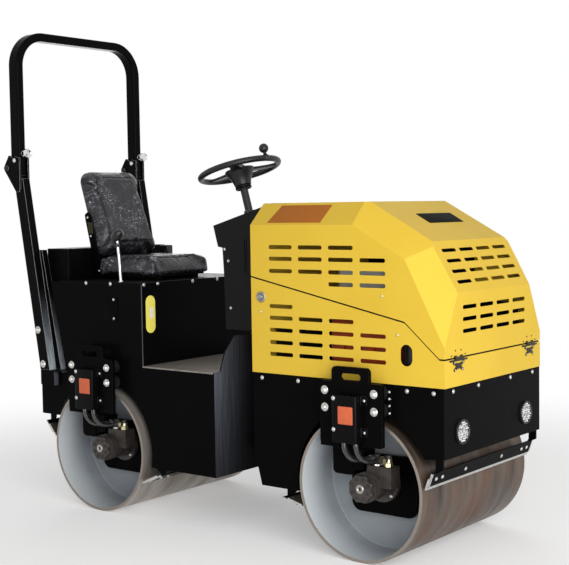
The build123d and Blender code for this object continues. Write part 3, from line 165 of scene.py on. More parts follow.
@dataclass(frozen=True)
class PowderCoat(Finish):
    """Powder coat baked on sheet steel: a thick even skin with orange peel that rounds off at the edges."""

    colour: str = "DDB43C"
    shade: str = "CFA433"
    roughness: float = 0.34
    specular: float = 0.4
    peel_mm: float = 3.0        # real orange peel is 1 to 3 mm across
    peel: float = 0.12
    edge_mm: float = 1.6
    # edge tone: partly wear, partly a painted highlight along the edges
    edge: str = "E9CC6B"
    edge_share: float = 0.35
    cloud_mm: float = 260.0
    scuff_mm: float = 45.0

    def lay(self, add: AddNode, where: Socket) -> Node:
        """Coat colour with slow clouding, an edge tone of wear and painted highlight, handling marks in the
        gloss.
        """
        cloud = add("TexNoise", {"Vector": where, "Scale": per_metre(self.cloud_mm), "Detail": 3.0})
        coat = add("Mix", {0: cloud, 6: self.colour, 7: self.shade}, data_type="RGBA")
        rounded = add("Bevel", {"Radius": self.edge_mm * 0.001}, samples=4)
        flat = add("NewGeometry")
        agree = add("VectorMath", {0: rounded, 1: flat.outputs["Normal"]}, operation="DOT_PRODUCT")
        edge = add("MapRange", {0: agree, 1: 0.995, 2: 0.86, 3: 0.0, 4: self.edge_share})
        # edge tone laid on: partly wear, partly painted highlight
        wear_and_sheen = add("Mix", {0: edge, 6: coat, 7: self.edge}, data_type="RGBA")
        scuff = add("TexNoise", {"Vector": where, "Scale": per_metre(self.scuff_mm), "Detail": 6.0,
                                 "Roughness": 0.7})
        gloss = add("MapRange", {0: scuff, 1: 0.35, 2: 0.75, 3: self.roughness, 4: self.roughness + 0.14})
        peel = add("TexNoise", {"Vector": where, "Scale": per_metre(self.peel_mm), "Detail": 1.0})
        skin = add("Bump", {"Height": peel, "Normal": rounded, "Strength": self.peel, "Distance": 0.0004})
        return add("BsdfPrincipled", {"Base Color": wear_and_sheen, "Roughness": gloss, "Normal": skin,
                                      "Specular IOR Level": self.specular})


@dataclass(frozen=True)
class SheenPaintedCoat(PowderCoat):
    """Gloss powder coat with a painted highlight: a pale tone painted on the outer forward faces, growing
    towards a given height.
    """

    painted_sheen: str = "B9C1C8"
    bright_z: float = 0.6      # height of the full painted sheen, and the height where it ends
    plain_z: float = 1.02
    fade: float = 2.2
    side_y: Pair = (0.1, 0.37)  # none further in than this, all of it further out

    def lay(self, add: AddNode, where: Socket) -> Node:
        """The plain coat, with the painted sheen on faces that look forward."""
        shader = super().lay(add, where)
        coat = shader.inputs["Base Color"].links[0].from_socket
        parts = add("SeparateXYZ", {0: where})
        height = add("MapRange", {0: parts.outputs["Z"], 1: self.plain_z, 2: self.bright_z})
        wear_and_sheen = add("Math", {0: height, 1: self.fade}, operation="POWER")
        normal = add("SeparateXYZ", {0: add("NewGeometry").outputs["Normal"]})
        ahead = add("Math", {0: normal.outputs["X"], 1: 0.6}, operation="GREATER_THAN")
        streak_place = add("VectorMath", {0: where, 1: (1.0, 1.0, 0.05)}, operation="MULTIPLY")
        sheen_streak = add("TexNoise", {"Vector": streak_place, "Scale": per_metre(9.0)})
        away = add("Math", {0: parts.outputs["Y"]}, operation="ABSOLUTE")
        outer = add("MapRange", {0: away, 1: self.side_y[0], 2: self.side_y[1]})
        ahead = add("Math", {0: ahead, 1: outer}, operation="MULTIPLY")
        share = add("Math", {0: wear_and_sheen, 1: ahead}, operation="MULTIPLY")
        share = add("Math", {0: share, 1: add("MapRange", {
            0: sheen_streak, 1: 0.3, 2: 0.6, 3: 0.6})},
                         operation="MULTIPLY")
        # painted highlight: the pale tone laid over the coat where the masks meet
        tone = add("Mix", {0: share, 6: coat, 7: self.painted_sheen}, data_type="RGBA")
        shader.id_data.links.new(tone.outputs[2], shader.inputs["Base Color"])
        return shader


@dataclass(frozen=True)
class DrumShell(Finish):
    """Rolled drum shell: turned bare steel outside, scored round by gravel and lightly rusted, paint inside."""

    slot: str = "drum_steel"
    axle_x: float = 0.0
    axle_z: float = 0.28
    radius: float = 0.28
    half_width: float = 0.4
    steel: str = "675C52"
    dark: str = "352A23"
    rust: str = "603F2B"
    rim: str = "8E857C"
    paint: str = "A0A5AA"
    paint_shade: str = "858B91"
    drum_mouth_light: str = "D3D8DB"       # paler towards the open end: painted light falling into the drum
    mouth_light_share: float = 0.8
    rust_from: float = 0.45     # patch level where rust begins, and its full share
    rust_share: float = 0.75
    score_mm: float = 9.0       # stones score it every few millimetres across its width

    def lay(self, add: AddNode, where: Socket) -> Node:
        """Bare steel where the surface lies at the drum's full radius or end, paint elsewhere."""
        parts = add("SeparateXYZ", {0: where})
        along = add("Math", {0: parts.outputs["X"], 1: self.axle_x}, operation="SUBTRACT")
        above = add("Math", {0: parts.outputs["Z"], 1: self.axle_z}, operation="SUBTRACT")
        spoke = add("CombineXYZ", {0: along, 1: above, 2: 0.0})
        reach = add("VectorMath", {0: spoke}, operation="LENGTH")
        outside = add("Math", {0: reach, 1: self.radius - 0.0008}, operation="GREATER_THAN")
        width = add("Math", {0: parts.outputs["Y"]}, operation="ABSOLUTE")
        end = add("Math", {0: width, 1: self.half_width - 0.0006}, operation="GREATER_THAN")
        bare = add("Math", {0: outside, 1: end}, operation="MAXIMUM")

        # bands run round the drum: fine steps across the width, slow change round it
        round_band = add("VectorMath", {0: where, 1: (2.2, 1000.0 / (self.score_mm * 8.0), 2.2)},
                         operation="MULTIPLY")
        band = add("TexNoise", {"Vector": round_band, "Scale": 1.0, "Detail": 4.0, "Roughness": 0.5})
        fine_band = add("VectorMath", {0: where, 1: (9.0, 1000.0 / self.score_mm * 4, 9.0)},
                        operation="MULTIPLY")
        score = add("TexNoise", {"Vector": fine_band, "Scale": 1.0, "Detail": 2.0})
        tone = add("MapRange", {0: band, 1: 0.34, 2: 0.66})
        steel = add("Mix", {0: tone, 6: self.dark, 7: self.steel}, data_type="RGBA")
        patch_place = add("VectorMath", {0: where, 1: (3.0, 9.0, 3.0)}, operation="MULTIPLY")
        patch = add("TexNoise", {"Vector": patch_place, "Scale": 1.0, "Detail": 6.0, "Roughness": 0.7})
        rusty = add("MapRange", {0: patch, 1: self.rust_from, 2: self.rust_from + 0.24, 4: self.rust_share})
        outer = add("Mix", {0: rusty, 6: steel, 7: self.rust}, data_type="RGBA")
        rim = add("Mix", {0: end, 6: outer, 7: self.rim}, data_type="RGBA")

        cloud = add("TexNoise", {"Vector": where, "Scale": per_metre(180.0), "Detail": 5.0, "Roughness": 0.6})
        paint = add("Mix", {0: cloud, 6: self.paint, 7: self.paint_shade}, data_type="RGBA")
        speck = add("TexNoise", {"Vector": where, "Scale": per_metre(14.0), "Detail": 8.0, "Roughness": 0.75})
        chipped = add("MapRange", {0: speck, 1: 0.66, 2: 0.72, 4: 0.5})
        # painted light: the inside paint drawn paler towards each open end
        open_end = add("MapRange", {0: width, 1: self.half_width - 0.15,
                                    2: self.half_width, 4: self.mouth_light_share})
        paint_lit_at_mouth = add("Mix", {0: open_end, 6: paint, 7: self.drum_mouth_light}, data_type="RGBA")
        inner = add("Mix", {0: chipped, 6: paint_lit_at_mouth, 7: self.rust}, data_type="RGBA")
        colour = add("Mix", {0: bare, 6: inner, 7: rim}, data_type="RGBA")
        dull = add("Math", {0: rusty, 1: 0.4, 2: 0.36}, operation="MULTIPLY_ADD")
        rough = add("Mix", {0: bare, 2: 0.42, 3: dull})
        unrusted = add("Math", {0: 0.6, 1: rusty}, operation="SUBTRACT", use_clamp=True)
        metal = add("Math", {0: unrusted, 1: bare}, operation="MULTIPLY")
        depth = add("Math", {0: score, 1: bare}, operation="MULTIPLY")
        bump = add("Bump", {"Height": depth, "Strength": 0.08, "Distance": 0.0006})
        return add("BsdfPrincipled", {"Base Color": colour, "Roughness": rough, "Metallic": metal,
                                      "Normal": bump})


@dataclass(frozen=True)
class Metal(Finish):
    """Bare, plated or polished metal: a mirror tint broken by fine handling marks and tarnish."""

    slot: str = "blade_steel"
    colour: str = "C8C9C8"
    tarnish: str = "8E8C88"
    roughness: float = 0.28
    spread: float = 0.16
    grain_mm: float = 6.0
    stretch: Triple = (1.0, 1.0, 1.0)
    bump: float = 0.05
    metallic: float = 1.0

    def lay(self, add: AddNode, where: Socket) -> Node:
        """Tarnish and roughness share one stretched grain, so dull streaks are the darker ones."""
        drawn = add("VectorMath", {0: where, 1: self.stretch}, operation="MULTIPLY")
        grain = add("TexNoise", {"Vector": drawn, "Scale": per_metre(self.grain_mm), "Detail": 5.0,
                                 "Roughness": 0.65})
        share = add("MapRange", {0: grain, 1: 0.35, 2: 0.75})
        tint = add("Mix", {0: share, 6: self.colour, 7: self.tarnish}, data_type="RGBA")
        rough = add("MapRange", {0: grain, 1: 0.3, 2: 0.8, 3: self.roughness, 4: self.roughness + self.spread})
        marks = add("Bump", {"Height": grain, "Strength": self.bump, "Distance": 0.0003})
        return add("BsdfPrincipled", {"Base Color": tint, "Roughness": rough, "Normal": marks,
                                      "Metallic": self.metallic})


@dataclass(frozen=True)
class CastPaint(Finish):
    """Enamel over sand-cast iron: the mould's pebbled skin shows through, oil and dust lie over it in broad
    patches.
    """

    slot: str = "cast_motor"
    colour: str = "2C2724"
    dust: str = "544B43"
    roughness: float = 0.38
    sand_mm: float = 2.4        # moulding sand marks
    metallic: float = 0.0

    def lay(self, add: AddNode, where: Socket) -> Node:
        """Pebbled bump, with the dust tone following broad noise."""
        sand = add("TexVoronoi", {"Vector": where, "Scale": per_metre(self.sand_mm)})
        grime = add("TexNoise", {"Vector": where, "Scale": per_metre(38.0), "Detail": 7.0, "Roughness": 0.7})
        share = add("MapRange", {0: grime, 1: 0.45, 2: 0.8, 4: 0.7})
        tone = add("Mix", {0: share, 6: self.colour, 7: self.dust}, data_type="RGBA")
        rough = add("MapRange", {0: grime, 3: self.roughness - 0.1, 4: self.roughness + 0.3})
        pebble = add("Bump", {"Height": sand, "Strength": 0.3, "Distance": 0.0006})
        return add("BsdfPrincipled", {"Base Color": tone, "Roughness": rough, "Normal": pebble,
                                      "Metallic": self.metallic})


@dataclass(frozen=True)
class Moulded(Finish):
    """Moulded plastic or rubber: one dyed body colour with the tool's fine grain and a bloom of dust."""

    slot: str = "wheel_plastic"
    colour: str = "0E0E10"
    bloom: str = "2A292A"
    roughness: float = 0.45
    specular: float = 0.35
    grain_mm: float = 1.5
    grain: float = 0.2
    bloom_share: float = 0.5

    def lay(self, add: AddNode, where: Socket) -> Node:
        """Grain in the bump, bloom in the colour and gloss."""
        tool = add("TexNoise", {"Vector": where, "Scale": per_metre(self.grain_mm), "Detail": 2.0})
        dust = add("TexNoise", {"Vector": where, "Scale": per_metre(50.0), "Detail": 6.0})
        share = add("MapRange", {0: dust, 1: 0.4, 2: 0.8, 4: self.bloom_share})
        tone = add("Mix", {0: share, 6: self.colour, 7: self.bloom}, data_type="RGBA")
        rough = add("MapRange", {0: dust, 1: 0.3, 2: 0.8, 3: self.roughness, 4: self.roughness + 0.2})
        skin = add("Bump", {"Height": tool, "Strength": self.grain, "Distance": 0.0004})
        return add("BsdfPrincipled", {"Base Color": tone, "Roughness": rough, "Normal": skin,
                                      "Specular IOR Level": self.specular})


@dataclass(frozen=True)
class WrappedHose(Finish):
    """Hydraulic hose with a cloth-wrapped cover: fine wrap marks across it and a waxy shine."""

    colour: str = "0B0B0C"
    shine: str = "2C2A2B"
    wrap_mm: float = 4.0

    def lay(self, add: AddNode, where: Socket) -> Node:
        """Wrap marks as bands in the bump and the colour."""
        wrap = add("TexWave", {"Vector": where, "Scale": per_metre(self.wrap_mm) / 6.28, "Distortion": 1.5,
                               "Detail": 2.0}, bands_direction="DIAGONAL")
        wear = add("TexNoise", {"Vector": where, "Scale": per_metre(25.0), "Detail": 5.0})
        share = add("Math", {0: wrap.outputs["Fac"], 1: wear}, operation="MULTIPLY")
        tone = add("Mix", {0: share, 6: self.colour, 7: self.shine}, data_type="RGBA")
        ridge = add("Bump", {"Height": wrap.outputs["Fac"], "Strength": 0.35, "Distance": 0.0005})
        return add("BsdfPrincipled", {"Base Color": tone, "Roughness": 0.2, "Normal": ridge,
                                      "Coat Weight": 0.8, "Coat Roughness": 0.1})


@dataclass(frozen=True)
class SeatVinyl(Finish):
    """Calendered vinyl seat cover, still under its thin film: pebble grain below, sharp film creases above."""

    colour: str = "0F0F12"
    bloom: str = "1F1F24"
    # painted highlights: pale streaks along the creases and short bright glints
    sheen_streak: str = "5C5D66"
    painted_glint: str = "C6C8CE"
    grain_mm: float = 2.2       # pebble of seat vinyl, drawn a little coarse so that it shows
    crease_mm: float = 34.0
    crease_stretch: Triple = (1.0, 1.0, 0.28)
    crease: float = 0.5
    patch_mm: float = 120.0     # wrinkled patches of the film, a hand wide

    def lay(self, add: AddNode, where: Socket) -> Node:
        """Grain, long soft folds and sharp ridges of the film, each at its own size, and painted highlights on
        them.
        """
        grain = add("TexVoronoi", {"Vector": where, "Scale": per_metre(self.grain_mm)},
                    feature="DISTANCE_TO_EDGE")
        drawn = add("VectorMath", {0: where, 1: self.crease_stretch}, operation="MULTIPLY")
        fold = add("TexNoise", {"Vector": drawn, "Scale": per_metre(self.crease_mm), "Detail": 2.5,
                                "Roughness": 0.55, "Distortion": 0.6})
        ridge = add("Math", {0: fold, 1: 0.5}, operation="SUBTRACT")
        ridge = add("Math", {0: ridge}, operation="ABSOLUTE")
        ridge = add("MapRange", {0: ridge, 1: 0.0, 2: 0.05, 3: 1.0, 4: 0.0}, interpolation_type="SMOOTHSTEP")
        broad = add("TexNoise", {"Vector": where, "Scale": per_metre(110.0), "Detail": 4.0})
        tone = add("Mix", {0: broad, 6: self.colour, 7: self.bloom}, data_type="RGBA")
        area = add("MapRange", {0: broad, 1: 0.42, 2: 0.62})
        # painted highlight: pale streaks painted along the ridges where the broad noise is high
        crease_highlight = add("Math", {0: ridge, 1: area}, operation="MULTIPLY")
        tone = add("Mix", {0: crease_highlight, 6: tone, 7: self.sheen_streak}, data_type="RGBA")
        # painted glints: short bright highlights painted where the film stands up in sharp wrinkles
        speck = add("TexNoise", {"Vector": drawn, "Scale": per_metre(13.0), "Detail": 3.0, "Roughness": 0.7})
        spot = add("MapRange", {0: speck, 1: 0.6, 2: 0.7})
        patch = add("TexNoise", {"Vector": where, "Scale": per_metre(self.patch_mm), "Detail": 1.0})
        near = add("MapRange", {0: patch, 1: 0.52, 2: 0.6})
        wrinkle_highlight = add("Math", {0: spot, 1: near}, operation="MULTIPLY")
        tone = add("Mix", {0: wrinkle_highlight, 6: tone, 7: self.painted_glint}, data_type="RGBA")
        pebble = add("Bump", {"Height": grain, "Strength": 0.25, "Distance": 0.0004})
        creased = add("Bump", {"Height": ridge, "Normal": pebble, "Strength": self.crease, "Distance": 0.002})
        film = add("Bump", {"Height": ridge, "Strength": self.crease, "Distance": 0.003})
        rough = add("MapRange", {0: broad, 3: 0.3, 4: 0.5})
        return add("BsdfPrincipled", {"Base Color": tone, "Roughness": rough, "Normal": creased,
                                      "Specular IOR Level": 0.3, "Coat Weight": 0.25, "Coat Roughness": 0.12,
                                      "Coat Normal": film})


@dataclass(frozen=True)
class PrintedFilm(Finish):
    """Printed vinyl sticker, left blank: one ink colour a little mottled, a satin face."""

    slot: str = "yellow_paint"
    colour: str = "D86B45"
    shade: str = "C45C39"
    roughness: float = 0.4
    specular: float = 0.3

    def lay(self, add: AddNode, where: Socket) -> Node:
        """Ink mottle in the colour, a faint lift in the bump."""
        mottle = add("TexNoise", {"Vector": where, "Scale": per_metre(16.0), "Detail": 5.0})
        ink = add("Mix", {0: mottle, 6: self.colour, 7: self.shade}, data_type="RGBA")
        lift = add("Bump", {"Height": mottle, "Strength": 0.1, "Distance": 0.0002})
        return add("BsdfPrincipled", {"Base Color": ink, "Roughness": self.roughness, "Normal": lift,
                                      "Specular IOR Level": self.specular})


@dataclass(frozen=True)
class LampGlass(Finish):
    """Clear lamp lens and light-emitting chips: bright white with a trace of its own light."""

    slot: str = "lamp"
    colour: str = "DCDEE0"
    shade: str = "5A5D60"
    glow: float = 0.05
    facet_mm: float = 5.0

    def lay(self, add: AddNode, where: Socket) -> Node:
        """Facets in the bump and the tone."""
        cells = add("TexVoronoi", {"Vector": where, "Scale": per_metre(self.facet_mm)})
        patchy = add("TexNoise", {"Vector": where, "Scale": per_metre(9.0), "Detail": 1.0})
        share = add("MapRange", {0: patchy, 1: 0.4, 2: 0.62})
        tone = add("Mix", {0: share, 6: self.colour, 7: self.shade}, data_type="RGBA")
        facet = add("Bump", {"Height": cells, "Strength": 0.5, "Distance": 0.001})
        return add("BsdfPrincipled", {"Base Color": tone, "Roughness": 0.12, "Normal": facet,
                                      "Emission Color": self.colour, "Emission Strength": self.glow})


# Edge colours below are partly wear and partly painted highlight; the pale and bluish ones on the tube, leg and
# cover coats are painted highlights.
YELLOW_COAT = PowderCoat("powder_coated_hood_steel", slot="yellow_paint", colour="E3C042", shade="DAB439",
                         roughness=0.42, specular=0.15, edge="F0DC85", edge_share=0.3)
BLACK_COAT = PowderCoat("powder_coated_frame_steel", colour="060506", shade="0A090A", roughness=0.3,
                        specular=0.02, peel=0.1, edge="3C3B3E", edge_share=0.4)
# bluish edge on the cover: a painted reflection along its rolled corners
COVER_COAT = PowderCoat("powder_coated_cover_steel", colour="070608", shade="0C0B0D", roughness=0.22,
                        specular=0.06, peel=0.08, edge="4A4C56", edge_share=0.7)
DASH_COAT = PowderCoat("powder_coated_dash_steel", colour="0A0909", shade="100F0F", roughness=0.4,
                       specular=0.12, peel=0.14, edge="4A4648", edge_share=0.4)
OLIVE_COAT = PowderCoat("painted_seat_bracket_steel", colour="2A2512", shade="3A3318", roughness=0.35,
                        specular=0.2, edge="6B6338", edge_share=0.4)
TUBE_COAT = PowderCoat("powder_coated_tube_steel", colour="060506", shade="0B0A0B", roughness=0.16,
                       specular=0.03, peel=0.05, edge_mm=2.4, edge="8A8A90", edge_share=0.7)
# legs: bright strips and edge lines painted down their forward faces as highlights
LEG_COAT = SheenPaintedCoat("rubbed_powder_coat_on_legs", colour="060506", shade="0B0A0B", roughness=0.16,
                      specular=0.03, peel=0.05, edge_mm=3.0, edge="C4C7CC", edge_share=0.9)
# step: painted light on its forward face, fading inward to painted shade under the hood
STEP_COAT = SheenPaintedCoat("powder_coat_on_step_with_painted_light", colour="060506", shade="0A090A", roughness=0.3,
                       specular=0.02, peel=0.1, edge="3C3B3E", edge_share=0.4, painted_sheen="5A5D66", bright_z=0.66,
                       plain_z=-0.1, fade=1.6)
COLUMN_COAT = PowderCoat("satin_coated_column_steel", colour="2A2A2C", shade="343436", roughness=0.34,
                         specular=0.2, edge="6A6A6E", edge_share=0.5)
FRONT_SHELL = DrumShell("rolled_front_drum_steel")
REAR_SHELL = DrumShell("rolled_rear_drum_steel", steel="B6B0A9", dark="887F76", rust="6E4A34", rust_from=0.5,
                       rust_share=0.6)
CAST_MOTOR = CastPaint("painted_cast_iron")
ENGINE_ENAMEL = CastPaint("engine_enamel_on_cast_iron", slot="engine_paint", colour="C4501F", dust="A8522F",
                          roughness=0.35)
DARK_IRON = CastPaint("blackened_cast_iron", colour="1C1A19", dust="37332F", roughness=0.5)
ZINC = Metal("zinc_plated_steel", colour="D6D6D4", tarnish="A9A7A2", roughness=0.3, grain_mm=9.0)
YELLOW_ZINC = Metal("yellow_passivated_zinc", colour="DAD3AE", tarnish="B3A67A", roughness=0.3, grain_mm=7.0)
CHROME = Metal("hard_chromed_steel", slot="rod_chrome", colour="E2E3E4", tarnish="C4C5C6", roughness=0.06,
               spread=0.06, grain_mm=20.0, bump=0.0)
TURNED_STEEL = Metal("turned_steel", slot="cylinder_steel", colour="B4B0AA", tarnish="8B857D", roughness=0.26,
                     grain_mm=2.0, stretch=(1.0, 0.1, 1.0))
BLADE_STEEL = Metal("wear_resistant_blade_steel", colour="A6A29C", tarnish="6E665E", roughness=0.36,
                    grain_mm=5.0, stretch=(1.0, 0.06, 1.0), bump=0.12)
FLOOR_STEEL = Metal("galvanised_floor_sheet", colour="9A948C", tarnish="6A645C", roughness=0.42, spread=0.25,
                    grain_mm=18.0, stretch=(1.0, 0.12, 1.0), bump=0.15, metallic=0.75)
HINGE_STEEL = Metal("blackened_hinge_steel", slot="hinge_steel", colour="2E2A26", tarnish="57503F",
                    roughness=0.35, grain_mm=4.0)
BUFFER_RUBBER = Moulded("natural_rubber_buffer", roughness=0.6, grain=0.3, specular=0.2)
SEAL_RUBBER = Moulded("foam_rubber_seal", slot="rubber", colour="080808", bloom="101010", roughness=0.8,
                      specular=0.1)
WHEEL_POLYMER = Moulded("moulded_polyurethane", colour="0F0F11", bloom="232224", roughness=0.34, grain_mm=2.0)
GRIP_POLYMER = Moulded("moulded_grip_plastic", colour="0D0D0E", roughness=0.25, grain=0.1)
LATCH_ZINC = Metal("dull_zinc_latch_casting", slot="rod_chrome", colour="A4A4A1", tarnish="5E5D5A",
                   roughness=0.42, grain_mm=7.0)
PALE_POLYMER = Moulded("blow_moulded_container", slot="lamp", colour="B9BBB8", bloom="8E8F8C", roughness=0.5,
                       grain=0.1)
HOSE = WrappedHose("wrapped_hydraulic_hose")
BACK_VINYL = SeatVinyl("seat_back_vinyl_under_film")
CUSHION_VINYL = SeatVinyl("seat_cushion_vinyl_under_film", crease_stretch=(1.0, 0.4, 1.0), crease=0.8)
ORANGE_FILM = PrintedFilm("blank_orange_sticker")
ROOF_FILM = PrintedFilm("blank_roof_sticker", colour="B06A26", shade="A66022", roughness=0.6, specular=0.15)
YELLOW_FILM = PrintedFilm("blank_yellow_sticker", colour="EFE36A", shade="E4D65C")
WHITE_FILM = PrintedFilm("blank_white_sticker", slot="lamp", colour="E9E7E0", shade="D8D6CF")
BADGE_FILM = PrintedFilm("blank_dark_plate", slot="black_paint", colour="090A08", shade="0E0F0A",
                         roughness=0.8, specular=0.08)
LAMP_GLASS = LampGlass("lamp_lens")


def dress(finish: Finish, *nodes: str) -> None:
    """Gives CAD nodes their finish."""
    for node in nodes:
        for place in frame["nodes"][node].material_slots:
            place.material = finish.material()
        LOG.info("dressed %s in %s", node, finish.name)


def show(name: str, data: bpy.types.ID) -> Object:
    """Puts an object for a mesh, lamp or camera into the scene."""
    made = bpy.data.objects.new(name, data)
    bpy.context.scene.collection.objects.link(made)
    return made


def joint_axis(name: str) -> tuple[Vector, Vector]:
    """Origin and direction of a joint's axis."""
    joint = next(j for j in frame["joints"] if j["name"] == name)
    return Vector(joint["pos_m"]), Vector(joint["axis"]).normalized()


# ---------------------------------------------------------------- shapes


def mm(*points: Pair) -> Profile:
    """Profile given in millimetres."""
    return tuple((x / 1000, y / 1000) for x, y in points)


def facing(at: Sequence[float], normal: Sequence[float], up: Sequence[float] = (0.0, 0.0, 1.0)) -> Matrix:
    """Place whose Z axis is a surface's outward normal.

    Args:
        at: the origin.
        normal: the outward normal.
        up: direction that the place's Y axis keeps nearest to.

    Returns:
        The place as a 4x4 matrix.
    """
    z = Vector(normal).normalized()
    x = Vector(up).cross(z)
    x = x.normalized() if x.length > 1e-6 else Vector((1.0, 0.0, 0.0))
    y = z.cross(x)
    place = Matrix((x, y, z)).transposed().to_4x4()
    place.translation = Vector(at)
    return place


def rounded_outline(width: float, height: float, radius: float, steps: int = 6) -> list[Pair]:
    """Corners of a rectangle about the origin with its corners rounded."""
    points = []
    for turn, (sx, sy) in enumerate(((1, 1), (-1, 1), (-1, -1), (1, -1))):
        for step in range(steps + 1):
            angle = math.pi / 2 * (turn + step / steps)
            points.append((sx * (width / 2 - radius) + radius * math.cos(angle),
                           sy * (height / 2 - radius) + radius * math.sin(angle)))
    return points


def raised(sign: int, degrees: float) -> Vector:
    """Direction ahead or behind, by its sign, raised by an angle."""
    angle = math.radians(degrees)
    return Vector((sign * math.cos(angle), 0.0, math.sin(angle)))


def around(count: int, radius: float) -> list[Vector]:
    """Offsets of evenly spaced places on a circle about a crosswise axis."""
    return [raised(1, 360 * (k + 0.5) / count) * radius for k in range(count)]


def capped(radius: float, rim: float, top: float, height: float) -> Profile:
    """Profile of a low round cap: an upright rim and a sloped edge up to its flat top."""
    return (0, 0), (radius, 0), (radius, rim), (top, height), (0, height)


class Shape:
    """A mesh put together from turned, cut and swept pieces."""

    def __init__(self) -> None:
        """Starts empty."""
        self.mesh = bmesh.new()

    def skin(self, rings: list[list[bmesh.types.BMVert]], closed: bool = False, cap: bool = False) -> None:
        """Skins between rings of vertices, where a ring of one vertex is a point.

        Args:
            rings: the rings, in order.
            closed: whether the last ring joins the first.
            cap: whether the two end rings are filled.
        """
        pairs = list(zip(rings, rings[1:]))
        if closed:
            pairs.append((rings[-1], rings[0]))
        for lower, upper in pairs:
            count = max(len(lower), len(upper))
            for i in range(count):
                j = (i + 1) % count
                corners = [lower[i % len(lower)], lower[j % len(lower)], upper[j % len(upper)],
                           upper[i % len(upper)]]
                unique = list(dict.fromkeys(corners))
                if len(unique) > 2:
                    self.mesh.faces.new(unique)
        if cap:
            self.mesh.faces.new(rings[0])
            self.mesh.faces.new(rings[-1])

    def turned(self, profile: Iterable[Pair], place: Matrix, steps: int = 24,
               closed: bool = False) -> "Shape":
        """Adds a body turned about the place's Z axis.

        Args:
            profile: radius and height of each step; a radius of 0 is a point on the axis.
            place: where the axis stands.
            steps: facets round it.
            closed: whether the profile is a loop, as for a ring.

        Returns:
            The shape itself.
        """
        rings = []
        for radius, height in profile:
            count = steps if radius > 1e-7 else 1
            angles = [2 * math.pi * (i + 0.5) / count for i in range(count)]
            spots = [Vector((radius * math.cos(a), radius * math.sin(a), height)) for a in angles]
            rings.append([self.mesh.verts.new(place @ spot) for spot in spots])
        self.skin(rings, closed)
        return self

    def ring(self, radius: float, tube: float, place: Matrix, steps: int = 48, sides: int = 14) -> "Shape":
        """Adds a round ring about the place's Z axis."""
        profile = [(radius + tube * math.cos(2 * math.pi * i / sides), tube * math.sin(2 * math.pi * i / sides))
                   for i in range(sides)]
        return self.turned(profile, place, steps, closed=True)

    def cut(self, outline: Sequence[Pair], depth: float, place: Matrix,
            edge: float = 0.0) -> "Shape":
        """Adds a plate cut to an outline.

        Args:
            outline: its corners in the place's X and Y.
            depth: thickness, along the place's Z.
            place: where it lies.
            edge: width of the rounding on its edges.

        Returns:
            The shape itself.
        """
        levels = [(0.0, 0.0), (depth, 0.0)]
        if edge > 0:
            steps = ((1.0, 0.0), (0.62, 0.08), (0.29, 0.29), (0.08, 0.62), (0.0, 1.0))
            levels = [(edge * rise, edge * pull) for pull, rise in steps]
            levels += [(depth - height, pull) for height, pull in reversed(levels)]
        count = len(outline)
        corners = [Vector(point) for point in outline]
        turn = sum(corners[i].cross(corners[(i + 1) % count]) for i in range(count))
        rings = []
        for height, pull in levels:
            ring = []
            for i, corner in enumerate(corners):
                before = (corner - corners[i - 1]).normalized()
                after = (corners[(i + 1) % count] - corner).normalized()
                normal = Vector((-(before + after).y, (before + after).x)).normalized()
                lean = max(0.35, normal.dot(Vector((-before.y, before.x))))
                point = corner + normal * (pull / lean) * (1 if turn > 0 else -1)
                ring.append(self.mesh.verts.new(place @ Vector((point.x, point.y, height))))
            rings.append(ring)
        self.skin(rings, cap=True)
        return self

    def block(self, size: Sequence[float], place: Matrix | Sequence[float], edge: float) -> "Shape":
        """Adds a block that stands on the place's XY plane, or upright on a point."""
        width, height, depth = size
        place = place if isinstance(place, Matrix) else Matrix.Translation(place)
        outline = rounded_outline(width, height, max(edge, 1e-4), 3)
        return self.cut(outline, depth, place, edge)

    def swept(self, path: Sequence[Vector], radii: float | Sequence[float], sides: int) -> "Shape":
        """Adds a round bar along a path.

        Args:
            path: the points that its middle runs through.
            radii: one radius, or one for each point.
            sides: facets round it.

        Returns:
            The shape itself.
        """
        widths = [radii] * len(path) if isinstance(radii, float) else list(radii)
        angles = [2 * math.pi * k / sides for k in range(sides)]
        rings = []
        across = None
        for i, point in enumerate(path):
            way = (path[min(i + 1, len(path) - 1)] - path[max(i - 1, 0)]).normalized()
            if across is None:
                across = way.orthogonal().normalized()
            across = (across - way * across.dot(way)).normalized()
            other = way.cross(across)
            one, two = across * widths[i], other * widths[i]
            rings.append([self.mesh.verts.new(point + one * math.cos(a) + two * math.sin(a)) for a in angles])
        self.skin(rings, cap=True)
        return self

    def data(self, name: str) -> bpy.types.Mesh:
        """Hands over the finished mesh."""
        bmesh.ops.recalc_face_normals(self.mesh, faces=self.mesh.faces)
        mesh = bpy.data.meshes.new(name)
        self.mesh.to_mesh(mesh)
        self.mesh.free()
        return mesh

    def piece(self, name: str, finish: Finish, body: str, slot: str = "",
              crease: float = 32.0) -> Object:
        """Makes the finished object.

        Args:
            name: the piece's name.
            finish: its finish.
            body: the CAD body that it rides on.
            slot: the record's material slot, where it isn't the finish's own; not used.
            crease: edges sharper than this many degrees stay sharp.

        Returns:
            The object.
        """
        mesh = self.data(name)
        mesh.shade_smooth()
        mesh.set_sharp_from_angle(angle=math.radians(crease))
        mesh.materials.append(finish.material())
        made = show(name, mesh)
        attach(made, body)
        slot or finish.slot
        LOG.info("%s: %d faces on %s", name, len(mesh.polygons), body)
        return made


